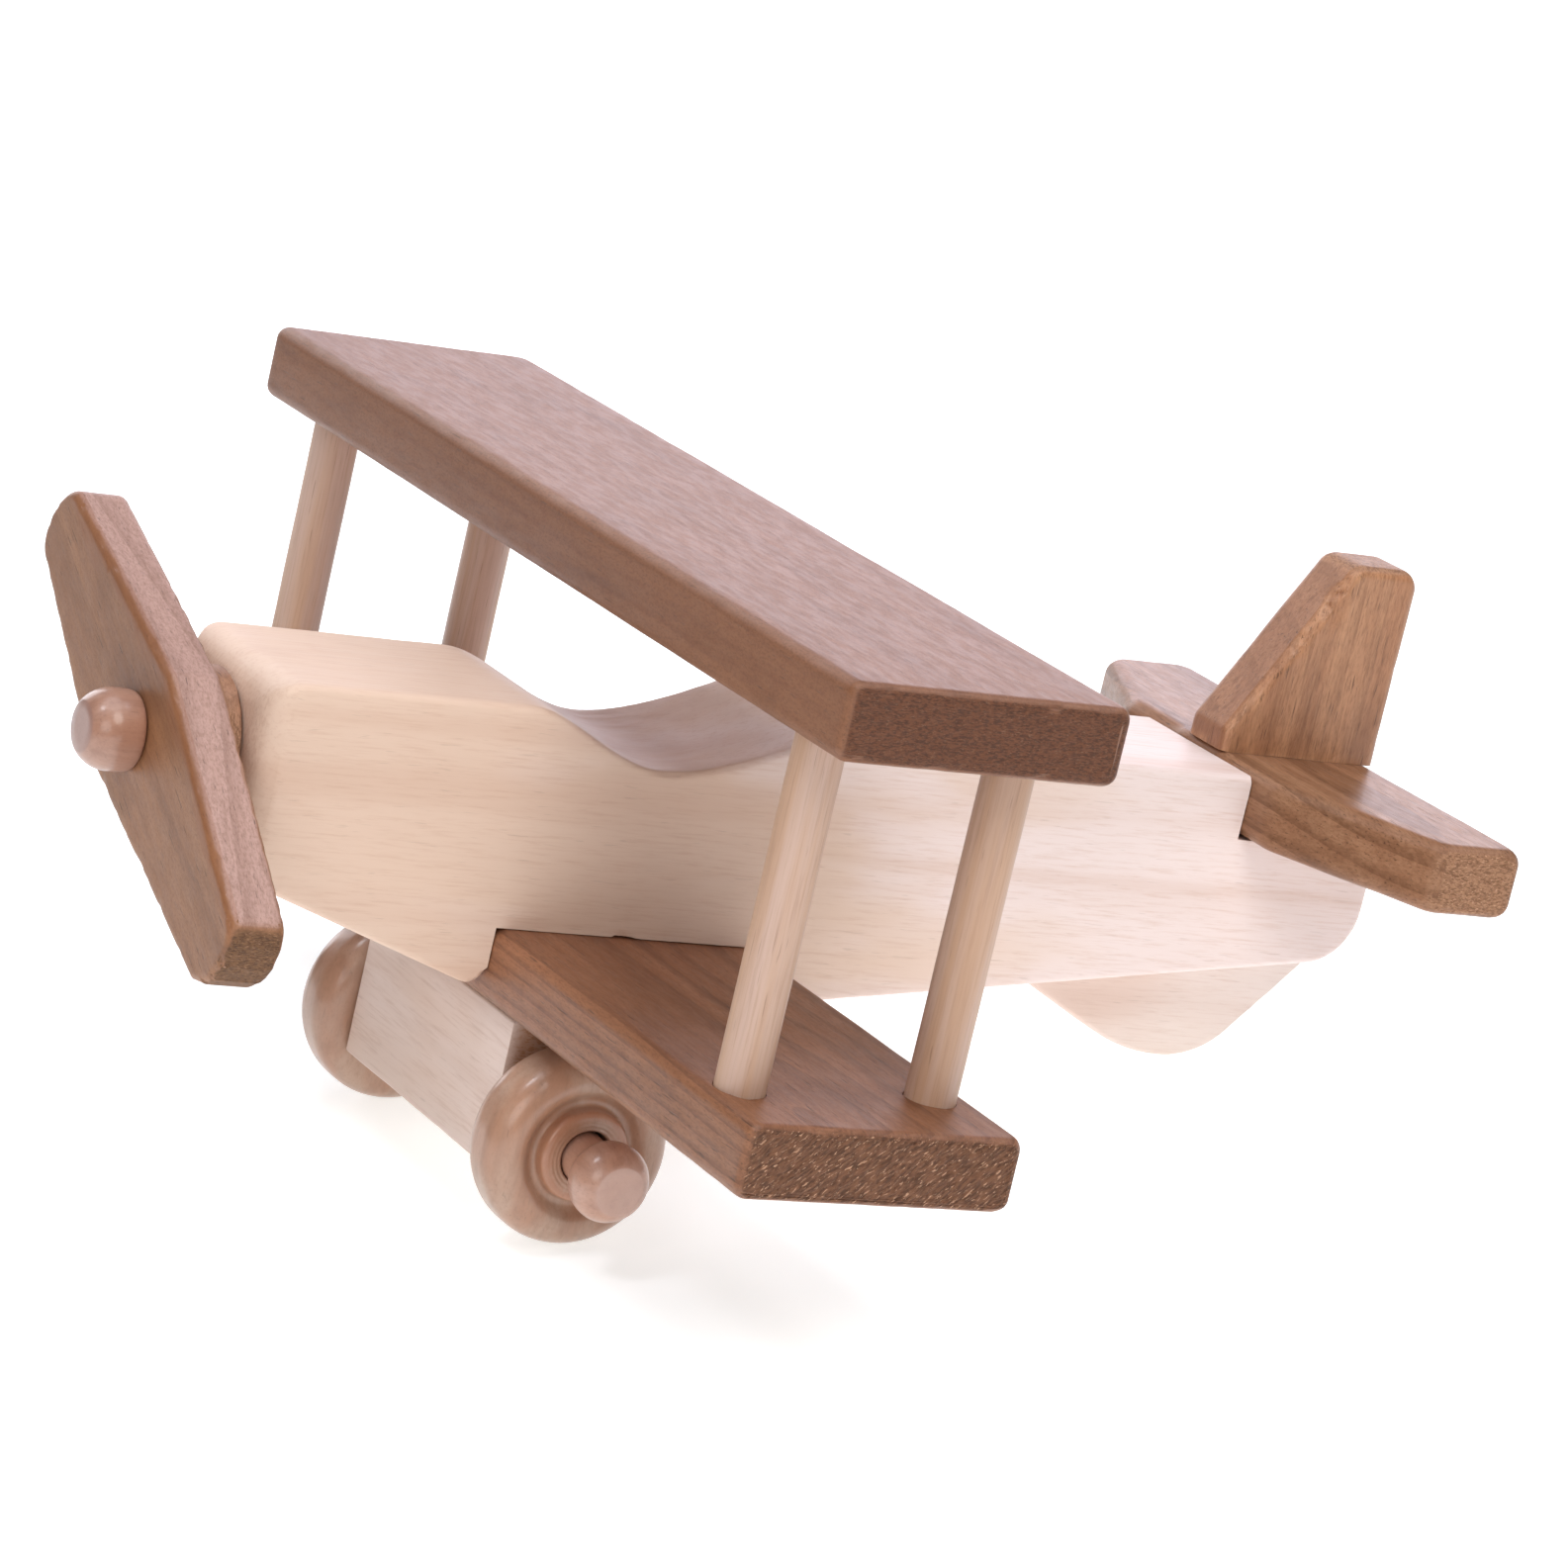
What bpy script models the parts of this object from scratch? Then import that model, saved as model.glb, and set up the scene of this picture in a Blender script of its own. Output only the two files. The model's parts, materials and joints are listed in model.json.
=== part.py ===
"""A wooden toy biplane: a sawn board fuselage, plank wings on dowel struts, and parts that turn on pegs.

Every piece is drawn level, in the airframe's own axes: +X to port, +Y aft and +Z up, with the
zero of Y just ahead of the wings and the zero of Z at the lower wing's seat. The whole
airframe is then pitched nose-up, so that it stands on its two wheels and its tail skid.
"""

from math import asin, atan2, cos, hypot, pi, radians, sin

import bmesh
import bpy
from mathutils import Matrix, Vector

MM = 0.001
GAP = 0.3 * MM                     # glue line, or slack between pieces that touch
ROUND_SIDES = 32                   # sides of dowels, shanks and drilled holes
WHEEL_SIDES = 40
OVERRUN = 5.0 * MM                 # how far a drill starts outside the wood
ARRIS = 0.5 * MM                   # chamfer on the ends of dowels, shanks and the spacer
FLAT_ANGLE = radians(35.0)         # sharpest edge that is shaded smooth on sawn and on turned pieces
TURNED_ANGLE = radians(50.0)

# Fuselage: a 1.5 in board, 9 in long, sawn to its side view.
BODY_WIDTH = 38.1 * MM
NOSE_Y = -42.0 * MM
TAIL_Y = 186.7 * MM
DECK_Z = 39.3 * MM
NOSE_TOP_RADIUS = 6.6 * MM
NOSE_CHIN_Z = 5.0 * MM             # lowest point of the flat nose face
CHIN_Z = -11.9 * MM
CHIN_RADIUS = 3.2 * MM
TAIL_HEEL_RADIUS = 11.0 * MM
NOSE_PLAN_RADIUS = 6.0 * MM        # rounding of the nose's upright corners, seen from above
BODY_EDGE = 1.2 * MM
PLAN_MARGIN = 0.1 * MM             # the plan template clears the sides and the nose by this much
COCKPIT = {"front": 7.0 * MM, "floor": 35.0 * MM, "rear": 65.5 * MM, "floor_z": 30.0 * MM,
           "front_lip": 15.0 * MM, "front_foot": 25.0 * MM,
           "rear_foot": 45.0 * MM, "rear_rise": (58.0 * MM, 36.0 * MM)}
TAILPLANE_SEAT = {"front": 154.9 * MM, "z": 27.2 * MM}

# Wings: two 1/2 in planks with no stagger.
WING_EDGE = 2.2 * MM
UPPER_WING = {"front": 9.0 * MM, "chord": 53.5 * MM, "span": 228.6 * MM,
              "base": 59.6 * MM, "depth": 13.5 * MM}
LOWER_WING = {"front": 9.0 * MM, "chord": 52.4 * MM, "span": 229.8 * MM,
              "base": -13.4 * MM, "depth": 13.1 * MM}

# Struts: 11/32 in dowels, each with its own X and Y because the holes were drilled by hand.
STRUT_RADIUS = 4.4 * MM
STRUT_SOCKET = 7.0 * MM
STRUTS = {
    "strut_port_front": (97.0 * MM, 15.7 * MM),
    "strut_port_rear": (95.7 * MM, 52.7 * MM),
    "strut_starboard_front": (-95.6 * MM, 17.0 * MM),
    "strut_starboard_rear": (-95.7 * MM, 52.7 * MM),
}

# Undercarriage: a block under the lower wing, with a wheel on a peg at each end.
BLOCK_LENGTH = 57.6 * MM
BLOCK_DEPTH = 24.0 * MM
BLOCK_FRONT = 10.9 * MM
BLOCK_BASE = -40.0 * MM
BLOCK_EDGE = 0.8 * MM
AXLE_Y = 22.5 * MM
AXLE_Z = -32.4 * MM
WHEEL_RADIUS = 17.4 * MM
RIM_WIDTH = 13.0 * MM
RIM_SHOULDER = 5.2 * MM            # rounding of the tyre's two shoulders
HUB_WIDTH = 13.8 * MM
HUB_RADIUS = 8.4 * MM
DISH_RADIUS = 9.4 * MM             # the turned groove around the hub
DISH_DEPTH = 2.0 * MM
WHEEL_INNER_X = BLOCK_LENGTH / 2 + 0.5 * MM

# Pegs: turned axle pegs, all three from one pattern.
PEG_RADIUS = 4.0 * MM
PEG_BORE = 4.9 * MM                # hole of a piece that turns on a peg
HEAD_RADIUS = 7.1 * MM
HEAD_LENGTH = 8.2 * MM
HEAD_FACET = 3.9 * MM
HEAD_NECK = 5.6 * MM
PEG_SOCKET = 20.0 * MM
WHEEL_FLOAT = 4.7 * MM             # free travel of a wheel between the block and the peg's head
AXLE_SLACK = 0.1 * MM              # how far a peg sits below the wheel's axis at the block
AXLE_DROOP = radians(2.0)          # and how much it droops towards its head

# Propeller: a 3/8 in board sawn by eye to a long hexagon with bulging tips, and a spacer behind it.
# Its corners are seen from behind the blade with the blade upright and the hub at zero.
PROP_AXIS_Z = 23.4 * MM
PROP_THICKNESS = 9.5 * MM
PROP_UPPER_TIP = ((7.6 * MM, 51.6 * MM), (-8.2 * MM, 53.4 * MM))
PROP_LOWER_TIP = ((-8.2 * MM, -49.4 * MM), (9.0 * MM, -53.2 * MM))
PROP_WAIST = ((-15.4 * MM, 9.5 * MM), (15.9 * MM, -2.5 * MM))
PROP_UPPER_BULGE = 2.9 * MM
PROP_LOWER_BULGE = 4.3 * MM
PROP_EDGE = 1.0 * MM
PROP_LEAN = radians(62.6)          # lean of the blade at rest, from upright towards starboard
PROP_FLOAT = 1.9 * MM
SPACER_RADIUS = 12.6 * MM
SPACER_THICKNESS = 3.9 * MM

# Tail: a tapered tailplane, a fin on it and a skid under the fuselage.
TAILPLANE = {"front": TAILPLANE_SEAT["front"] + GAP, "rear": 189.6 * MM, "root": 52.0 * MM,
             "tip": 19.0 * MM, "span": 118.8 * MM, "depth": 13.1 * MM}
TAILPLANE_EDGE = 2.0 * MM
TIP_FRONT_RADIUS = 2.5 * MM
TIP_REAR_RADIUS = 3.5 * MM
FIN = {"x": 0.9 * MM, "front": 155.2 * MM, "rear": 189.8 * MM, "toe": 3.6 * MM,
       "crown": 14.4 * MM, "height": 37.0 * MM, "thickness": 12.9 * MM}
FIN_EDGE = 1.4 * MM
FIN_CROWN_RADIUS = 3.0 * MM
SKID_THICKNESS = 9.5 * MM
SKID_EDGE = 0.8 * MM
SKID_KEEL_Y = 160.5 * MM           # where the skid's keel runs level with the fuselage
SKID_KEEL_Z = -19.3 * MM
SKID_TOE_RADIUS = 35.0 * MM
SKID_TOE_TURN = radians(26.0)
SKID_HEEL_RADIUS = 27.0 * MM
SKID_HEEL_TURN = radians(72.0)
SKID_FRONT_Y = 120.0 * MM
SKID_REAR_Y = 184.0 * MM
BELLY = {"front": (LOWER_WING["front"] + LOWER_WING["chord"] + GAP, -11.3 * MM), "rear": (TAIL_Y, 6.2 * MM)}

MATERIALS = {
    "maple": ((0.80, 0.62, 0.50), 0.55),
    "walnut": ((0.33, 0.19, 0.125), 0.5),
    "birch": ((0.60, 0.42, 0.30), 0.5),
    "turned": ((0.55, 0.34, 0.23), 0.35),
}

SIDE_VIEW = Matrix.Rotation(pi / 2, 4, "Z") @ Matrix.Rotation(pi / 2, 4, "X")    # drawn X, Y become Y, Z
FRONT_VIEW = Matrix.Rotation(pi / 2, 4, "X")                                     # drawn X, Y become X, Z
TO_PORT = Matrix.Rotation(pi / 2, 4, "Y")                                        # turned +Z becomes +X
TO_STARBOARD = Matrix.Rotation(-pi / 2, 4, "Y")
TO_NOSE = Matrix.Rotation(pi / 2, 4, "X")                                        # turned +Z becomes -Y


# ---------------------------------------------------------------- scene and materials

def clear_scene():
    for thing in list(bpy.data.objects):
        bpy.data.objects.remove(thing, do_unlink=True)


def make_collection(name):
    collection = bpy.data.collections.new(name)
    bpy.context.scene.collection.children.link(collection)
    return collection


def make_material(name):
    colour, roughness = MATERIALS[name]
    material = bpy.data.materials.new(name)
    material.use_nodes = True
    shader = material.node_tree.nodes["Principled BSDF"]
    shader.inputs["Base Color"].default_value = (*colour, 1.0)
    shader.inputs["Roughness"].default_value = roughness
    shader.inputs["Metallic"].default_value = 0.0
    material.diffuse_color = (*colour, 1.0)
    return material


def finish(piece, material, smooth_angle=FLAT_ANGLE):
    """Give a piece its material and soft shading over its rounded faces."""
    piece.data.materials.clear()
    piece.data.materials.append(material)
    piece.data.shade_smooth()
    piece.data.set_sharp_from_angle(angle=smooth_angle)
    return piece


# ---------------------------------------------------------------- outlines

def arc(centre, radius, start, end, steps=6):
    """Points of an arc, with angles in radians from the drawn X axis."""
    angles = [start + (end - start) * i / steps for i in range(steps + 1)]
    return [(centre[0] + radius * cos(a), centre[1] + radius * sin(a)) for a in angles]


def round_corner(before, corner, after, radius, steps=5):
    """Points of the arc of the given radius that rounds a corner between two straight edges."""
    corner, before, after = Vector(corner), Vector(before), Vector(after)
    to_before = (before - corner).normalized()
    to_after = (after - corner).normalized()
    half_angle = to_before.angle(to_after) / 2
    bisector = (to_before + to_after).normalized()
    centre = corner + bisector * (radius / sin(half_angle))
    start = corner + to_before * (radius / (sin(half_angle) / cos(half_angle))) - centre
    turn = -to_before.angle_signed(to_after)
    sweep = (pi - abs(turn)) * (1 if turn < 0 else -1)
    points = []
    for i in range(steps + 1):
        a = sweep * i / steps
        offset = Vector((start.x * cos(a) - start.y * sin(a), start.x * sin(a) + start.y * cos(a)))
        points.append(tuple(centre + offset))
    return points


def ease(start, start_handle, end_handle, end, steps=10):
    """Inner points of a cubic curve between two points."""
    points = []
    for i in range(1, steps):
        t = i / steps
        s = 1 - t
        weights = (s ** 3, 3 * s * s * t, 3 * s * t * t, t ** 3)
        corners = (start, start_handle, end_handle, end)
        points.append(tuple(sum(w * c[k] for w, c in zip(weights, corners)) for k in range(2)))
    return points


# ---------------------------------------------------------------- solids

class Workshop:
    """Makes pieces in one collection and their cutters in another, all on one parent."""

    def __init__(self, parts, cutters, airframe):
        self.parts = parts
        self.cutters = cutters
        self.airframe = airframe

    def place(self, piece, matrix, collection):
        collection.objects.link(piece)
        piece.parent = self.airframe
        piece.matrix_parent_inverse = Matrix.Identity(4)
        piece.matrix_basis = matrix
        return piece

    def board(self, name, outline, thickness, edge, matrix):
        """A flat board sawn to an outline, with its edges rounded over."""
        curve = bpy.data.curves.new(name, "CURVE")
        curve.dimensions = "2D"
        curve.fill_mode = "BOTH"
        curve.extrude = thickness / 2 - edge
        curve.bevel_depth = edge
        curve.bevel_resolution = 1
        curve.offset = -edge
        spline = curve.splines.new("POLY")
        spline.points.add(len(outline) - 1)
        for point, (x, y) in zip(spline.points, outline):
            point.co = (x, y, 0.0, 1.0)
        spline.use_cyclic_u = True
        drawing = bpy.data.objects.new(name + "_outline", curve)
        self.parts.objects.link(drawing)
        evaluated = drawing.evaluated_get(bpy.context.evaluated_depsgraph_get())
        mesh = bpy.data.meshes.new_from_object(evaluated)
        bpy.data.objects.remove(drawing, do_unlink=True)
        mesh.name = name
        shape = bmesh.new()
        shape.from_mesh(mesh)
        bmesh.ops.remove_doubles(shape, verts=shape.verts, dist=0.01 * MM)
        bmesh.ops.dissolve_limit(shape, angle_limit=radians(0.5), verts=shape.verts, edges=shape.edges)
        bmesh.ops.recalc_face_normals(shape, faces=shape.faces)
        shape.to_mesh(mesh)
        shape.free()
        return self.place(bpy.data.objects.new(name, mesh), matrix, self.parts)

    def plank(self, name, size, centre, edge):
        """A rectangular plank with rounded edges."""
        mesh = bpy.data.meshes.new(name)
        shape = bmesh.new()
        bmesh.ops.create_cube(shape, size=1.0, matrix=Matrix.Diagonal((*size, 1.0)))
        shape.to_mesh(mesh)
        shape.free()
        piece = self.place(bpy.data.objects.new(name, mesh), Matrix.Translation(centre), self.parts)
        bevel = piece.modifiers.new("rounded_edges", "BEVEL")
        bevel.width = edge
        bevel.segments = 3
        bevel.limit_method = "NONE"
        return piece

    def turned(self, name, profile, matrix, sides=ROUND_SIDES):
        """A lathe-turned piece about its own Z axis, from (radius, height) points, top to bottom."""
        mesh = bpy.data.meshes.new(name)
        points = [(radius, 0.0, height) for radius, height in profile]
        edges = [(i, i + 1) for i in range(len(points) - 1)]
        if profile[0][0] > 0.0:
            edges.append((len(points) - 1, 0))
        mesh.from_pydata(points, edges, [])
        piece = self.place(bpy.data.objects.new(name, mesh), matrix, self.parts)
        lathe = piece.modifiers.new("lathe", "SCREW")
        lathe.axis = "Z"
        lathe.steps = sides
        lathe.render_steps = sides
        lathe.use_merge_vertices = True
        lathe.merge_threshold = 0.01 * MM
        lathe.use_smooth_shade = True
        return piece

    def drill(self, piece, radius, start, end):
        """Bore a round hole from one point to another, in the airframe's axes."""
        start, end = Vector(start), Vector(end)
        name = piece.name + "_drill"
        mesh = bpy.data.meshes.new(name)
        shape = bmesh.new()
        bmesh.ops.create_cone(shape, cap_ends=True, segments=ROUND_SIDES, radius1=radius, radius2=radius,
                              depth=(end - start).length)
        shape.to_mesh(mesh)
        shape.free()
        turn = (end - start).to_track_quat("Z", "Y").to_matrix().to_4x4()
        cutter = bpy.data.objects.new(name, mesh)
        self.place(cutter, Matrix.Translation((start + end) / 2) @ turn, self.cutters)
        self.boolean(piece, cutter, "DIFFERENCE")

    def boolean(self, piece, cutter, operation):
        cutter.hide_render = True
        cutter.display_type = "WIRE"
        cut = piece.modifiers.new(cutter.name, "BOOLEAN")
        cut.operation = operation
        cut.solver = "EXACT"
        cut.object = cutter


# ---------------------------------------------------------------- the fuselage

def belly_z(y):
    """Height of the fuselage's straight underside behind the lower wing."""
    (y0, z0), (y1, z1) = BELLY["front"], BELLY["rear"]
    return z0 + (z1 - z0) * (y - y0) / (y1 - y0)


def fuselage_outline():
    """The side view, drawn aft and up, starting at the top of the nose and running aft."""
    seat_front = LOWER_WING["front"] - GAP
    seat_rear = LOWER_WING["front"] + LOWER_WING["chord"] + GAP
    floor_z = COCKPIT["floor_z"]
    floor = (COCKPIT["floor"], floor_z)
    rear = (COCKPIT["rear"], DECK_Z)
    points = [(COCKPIT["front"], DECK_Z)]
    points += ease(points[-1], (COCKPIT["front_lip"], DECK_Z), (COCKPIT["front_foot"], floor_z), floor)
    points.append(floor)
    points += ease(floor, (COCKPIT["rear_foot"], floor_z), COCKPIT["rear_rise"], rear)
    points.append(rear)
    points.append((TAILPLANE_SEAT["front"], DECK_Z))
    points.append((TAILPLANE_SEAT["front"], TAILPLANE_SEAT["z"]))
    points.append((TAIL_Y, TAILPLANE_SEAT["z"]))
    points += round_corner(points[-1], (TAIL_Y, belly_z(TAIL_Y)), BELLY["front"], TAIL_HEEL_RADIUS)
    points.append(BELLY["front"])
    points.append((seat_rear, 0.0))
    points.append((seat_front, 0.0))
    nose_foot = (NOSE_Y, NOSE_CHIN_Z)
    points += round_corner(points[-1], (seat_front, CHIN_Z), nose_foot, CHIN_RADIUS)
    points += round_corner(points[-1], nose_foot, (NOSE_Y, DECK_Z), CHIN_RADIUS)
    points += round_corner(nose_foot, (NOSE_Y, DECK_Z), (COCKPIT["front"], DECK_Z), NOSE_TOP_RADIUS)
    return points


def make_fuselage(shop, maple):
    fuselage = shop.board("fuselage", fuselage_outline(), BODY_WIDTH, BODY_EDGE, SIDE_VIEW)
    half = BODY_WIDTH / 2 + PLAN_MARGIN
    front, back = NOSE_Y - PLAN_MARGIN, TAIL_Y + OVERRUN
    corners = [(-half, back), (half, back), (half, front), (-half, front)]
    plan = corners[:2]
    plan += round_corner(corners[1], corners[2], corners[3], NOSE_PLAN_RADIUS)
    plan += round_corner(corners[2], corners[3], corners[0], NOSE_PLAN_RADIUS)
    height = Matrix.Translation((0, 0, DECK_Z / 2))
    template = shop.board("fuselage_plan", plan, 4 * DECK_Z, 0.0, height)
    shop.parts.objects.unlink(template)
    shop.cutters.objects.link(template)
    shop.boolean(fuselage, template, "INTERSECT")
    socket_end = NOSE_Y + PEG_SOCKET + GAP
    shop.drill(fuselage, PEG_RADIUS + GAP, (0, NOSE_Y - OVERRUN, PROP_AXIS_Z), (0, socket_end, PROP_AXIS_Z))
    return finish(fuselage, maple)


# ---------------------------------------------------------------- wings and struts

def make_wing(shop, name, wing, walnut):
    size = (wing["span"], wing["chord"], wing["depth"])
    centre = (0.0, wing["front"] + wing["chord"] / 2, wing["base"] + wing["depth"] / 2)
    piece = shop.plank(name, size, centre, WING_EDGE)
    return finish(piece, walnut)


def make_struts(shop, upper, lower, birch):
    lower_top = LOWER_WING["base"] + LOWER_WING["depth"]
    foot = lower_top - STRUT_SOCKET + GAP
    head = UPPER_WING["base"] + STRUT_SOCKET - GAP
    length = head - foot
    profile = [(0.0, length), (STRUT_RADIUS - ARRIS, length), (STRUT_RADIUS, length - ARRIS),
               (STRUT_RADIUS, ARRIS), (STRUT_RADIUS - ARRIS, 0.0), (0.0, 0.0)]
    hole = STRUT_RADIUS + GAP
    upper_base = UPPER_WING["base"]
    for name, (x, y) in STRUTS.items():
        strut = shop.turned(name, profile, Matrix.Translation((x, y, foot)))
        finish(strut, birch)
        shop.drill(lower, hole, (x, y, lower_top - STRUT_SOCKET), (x, y, lower_top + OVERRUN))
        shop.drill(upper, hole, (x, y, upper_base - OVERRUN), (x, y, upper_base + STRUT_SOCKET))


# ---------------------------------------------------------------- pegs and wheels

def peg_profile(shank):
    """A turned axle peg: the shank runs down from the head, whose underside is at height 0."""
    waist = 0.4 * HEAD_LENGTH
    profile = [(0.0, HEAD_LENGTH), (HEAD_FACET, HEAD_LENGTH)]
    profile += ease((HEAD_FACET, HEAD_LENGTH), (HEAD_RADIUS - 1.4 * MM, HEAD_LENGTH - 0.3 * MM),
                    (HEAD_RADIUS, 0.75 * HEAD_LENGTH), (HEAD_RADIUS, waist), steps=5)
    profile += [(HEAD_RADIUS, waist), (HEAD_RADIUS - 0.3 * MM, 0.12 * HEAD_LENGTH), (HEAD_NECK, 0.0)]
    profile += [(PEG_RADIUS, 0.0), (PEG_RADIUS, -shank + ARRIS)]
    profile += [(PEG_RADIUS - ARRIS, -shank), (0.0, -shank)]
    return profile


def wheel_profile():
    """Half the wheel's section: outer face upward, then the tread, the inner face and the bore."""
    shoulder = WHEEL_RADIUS - RIM_SHOULDER
    dish = RIM_WIDTH - DISH_DEPTH
    profile = [(PEG_BORE, HUB_WIDTH - 0.4 * MM), (PEG_BORE + 0.4 * MM, HUB_WIDTH)]
    profile += [(HUB_RADIUS - 1.2 * MM, HUB_WIDTH - 0.1 * MM)]
    profile += [(HUB_RADIUS - 0.2 * MM, HUB_WIDTH - 0.8 * MM)]
    profile += [(HUB_RADIUS, dish + 0.6 * MM), (DISH_RADIUS, dish)]
    profile += ease((DISH_RADIUS, dish), (DISH_RADIUS + 1.0 * MM, dish), (shoulder - 0.9 * MM, RIM_WIDTH),
                    (shoulder, RIM_WIDTH), steps=4)
    profile += arc((shoulder, RIM_WIDTH - RIM_SHOULDER), RIM_SHOULDER, pi / 2, 0.0)
    profile += arc((shoulder, RIM_SHOULDER), RIM_SHOULDER, 0.0, -pi / 2)
    profile += [(PEG_BORE + 0.4 * MM, 0.0), (PEG_BORE, 0.4 * MM)]
    return profile


def make_undercarriage(shop, maple, turned_wood):
    block_top = LOWER_WING["base"] - GAP
    height = block_top - BLOCK_BASE
    centre = (0.0, BLOCK_FRONT + BLOCK_DEPTH / 2, BLOCK_BASE + height / 2)
    block = shop.plank("axle_block", (BLOCK_LENGTH, BLOCK_DEPTH, height), centre, BLOCK_EDGE)
    finish(block, maple)
    half_block = BLOCK_LENGTH / 2
    reach = WHEEL_INNER_X + HUB_WIDTH + WHEEL_FLOAT - half_block
    for side, name, turn in ((1, "port", TO_PORT), (-1, "starboard", TO_STARBOARD)):
        wheel_place = Matrix.Translation((side * WHEEL_INNER_X, AXLE_Y, AXLE_Z)) @ turn
        wheel = shop.turned("wheel_" + name, wheel_profile(), wheel_place, WHEEL_SIDES)
        finish(wheel, turned_wood, TURNED_ANGLE)
        droop = Matrix.Rotation(side * AXLE_DROOP, 4, "Y")
        mouth = Matrix.Translation((side * half_block, AXLE_Y, AXLE_Z - AXLE_SLACK)) @ droop @ turn
        peg_place = mouth @ Matrix.Translation((0, 0, reach))
        peg = shop.turned("wheel_peg_" + name, peg_profile(reach + PEG_SOCKET - GAP), peg_place)
        finish(peg, turned_wood, TURNED_ANGLE)
        bottom, outside = (mouth @ Vector((0, 0, height)) for height in (-PEG_SOCKET, OVERRUN))
        shop.drill(block, PEG_RADIUS + GAP, bottom, outside)


# ---------------------------------------------------------------- the propeller

def bulged_tip(first, last, bulge):
    """An arc from one corner of a blade's tip to the other."""
    first, last = Vector(first), Vector(last)
    chord = last - first
    radius = (chord.length_squared / 4 + bulge ** 2) / (2 * bulge)
    outward = Vector((chord.y, -chord.x)).normalized()
    centre = (first + last) / 2 - outward * (radius - bulge)
    middle = atan2(outward.y, outward.x)
    spread = asin(chord.length / 2 / radius)
    return arc(centre, radius, middle - spread, middle + spread)


def propeller_outline():
    """The blade's outline, running from the upper tip down its port side and back up."""
    port_waist, starboard_waist = PROP_WAIST
    upper_tip = bulged_tip(*PROP_UPPER_TIP, PROP_UPPER_BULGE)
    lower_tip = bulged_tip(*PROP_LOWER_TIP, PROP_LOWER_BULGE)
    return upper_tip + [port_waist] + lower_tip + [starboard_waist]


def make_propeller(shop, walnut, turned_wood):
    spacer_rear = NOSE_Y - GAP
    spacer_front = spacer_rear - SPACER_THICKNESS
    prop_rear = spacer_front - GAP
    prop_front = prop_rear - PROP_THICKNESS
    head_y = prop_front - PROP_FLOAT
    lean = Matrix.Rotation(-PROP_LEAN, 4, "Y")
    blade_place = Matrix.Translation((0, (prop_rear + prop_front) / 2, PROP_AXIS_Z)) @ lean @ FRONT_VIEW
    blade = shop.board("propeller", propeller_outline(), PROP_THICKNESS, PROP_EDGE, blade_place)
    ahead, behind = prop_front - OVERRUN, prop_rear + OVERRUN
    shop.drill(blade, PEG_BORE, (0, ahead, PROP_AXIS_Z), (0, behind, PROP_AXIS_Z))
    finish(blade, walnut)
    ring = [(PEG_BORE, SPACER_THICKNESS), (SPACER_RADIUS - ARRIS, SPACER_THICKNESS),
            (SPACER_RADIUS, SPACER_THICKNESS - ARRIS), (SPACER_RADIUS, ARRIS),
            (SPACER_RADIUS - ARRIS, 0.0), (PEG_BORE, 0.0)]
    spacer_place = Matrix.Translation((0, spacer_rear, PROP_AXIS_Z)) @ TO_NOSE
    spacer = shop.turned("propeller_spacer", ring, spacer_place)
    finish(spacer, walnut)
    shank = NOSE_Y + PEG_SOCKET - head_y
    peg_place = Matrix.Translation((0, head_y, PROP_AXIS_Z)) @ TO_NOSE
    peg = shop.turned("propeller_peg", peg_profile(shank), peg_place)
    finish(peg, turned_wood, TURNED_ANGLE)


# ---------------------------------------------------------------- the tail

def tailplane_outline():
    """Plan view: a straight middle, swept leading edges and a straight trailing edge."""
    front, rear = TAILPLANE["front"], TAILPLANE["rear"]
    root, span = TAILPLANE["root"] / 2, TAILPLANE["span"] / 2
    tip_front = rear - TAILPLANE["tip"]
    port = [(root, front)]
    port += round_corner((root, front), (span, tip_front), (span, rear), TIP_FRONT_RADIUS, steps=3)
    port += round_corner((span, tip_front), (span, rear), (0.0, rear), TIP_REAR_RADIUS, steps=4)
    return port + [(-x, y) for x, y in reversed(port)]


def fin_outline():
    """Side view: a short upright toe, a raked leading edge, a small crown and an upright rear edge."""
    base = TAILPLANE_SEAT["z"] + GAP + TAILPLANE["depth"] + GAP
    crown_z = base + FIN["height"]
    crown_front = (FIN["rear"] - FIN["crown"], crown_z)
    crown_rear = (FIN["rear"], crown_z)
    toe = (FIN["front"], base + FIN["toe"])
    points = [(FIN["rear"], base), (FIN["front"], base), toe]
    points += round_corner(toe, crown_front, crown_rear, FIN_CROWN_RADIUS, steps=3)
    points += round_corner(crown_front, crown_rear, (FIN["rear"], base), FIN_CROWN_RADIUS, steps=4)
    return points


def skid_outline():
    """Side view: the top follows the fuselage's belly, and the keel is two arcs that meet level."""
    toe_centre = (SKID_KEEL_Y, SKID_KEEL_Z + SKID_TOE_RADIUS)
    heel_centre = (SKID_KEEL_Y, SKID_KEEL_Z + SKID_HEEL_RADIUS)
    points = [(SKID_REAR_Y, belly_z(SKID_REAR_Y) - GAP), (SKID_FRONT_Y, belly_z(SKID_FRONT_Y) - GAP)]
    points += arc(toe_centre, SKID_TOE_RADIUS, -pi / 2 - SKID_TOE_TURN, -pi / 2)
    points += arc(heel_centre, SKID_HEEL_RADIUS, -pi / 2, -pi / 2 + SKID_HEEL_TURN, steps=12)[1:]
    return points


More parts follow.
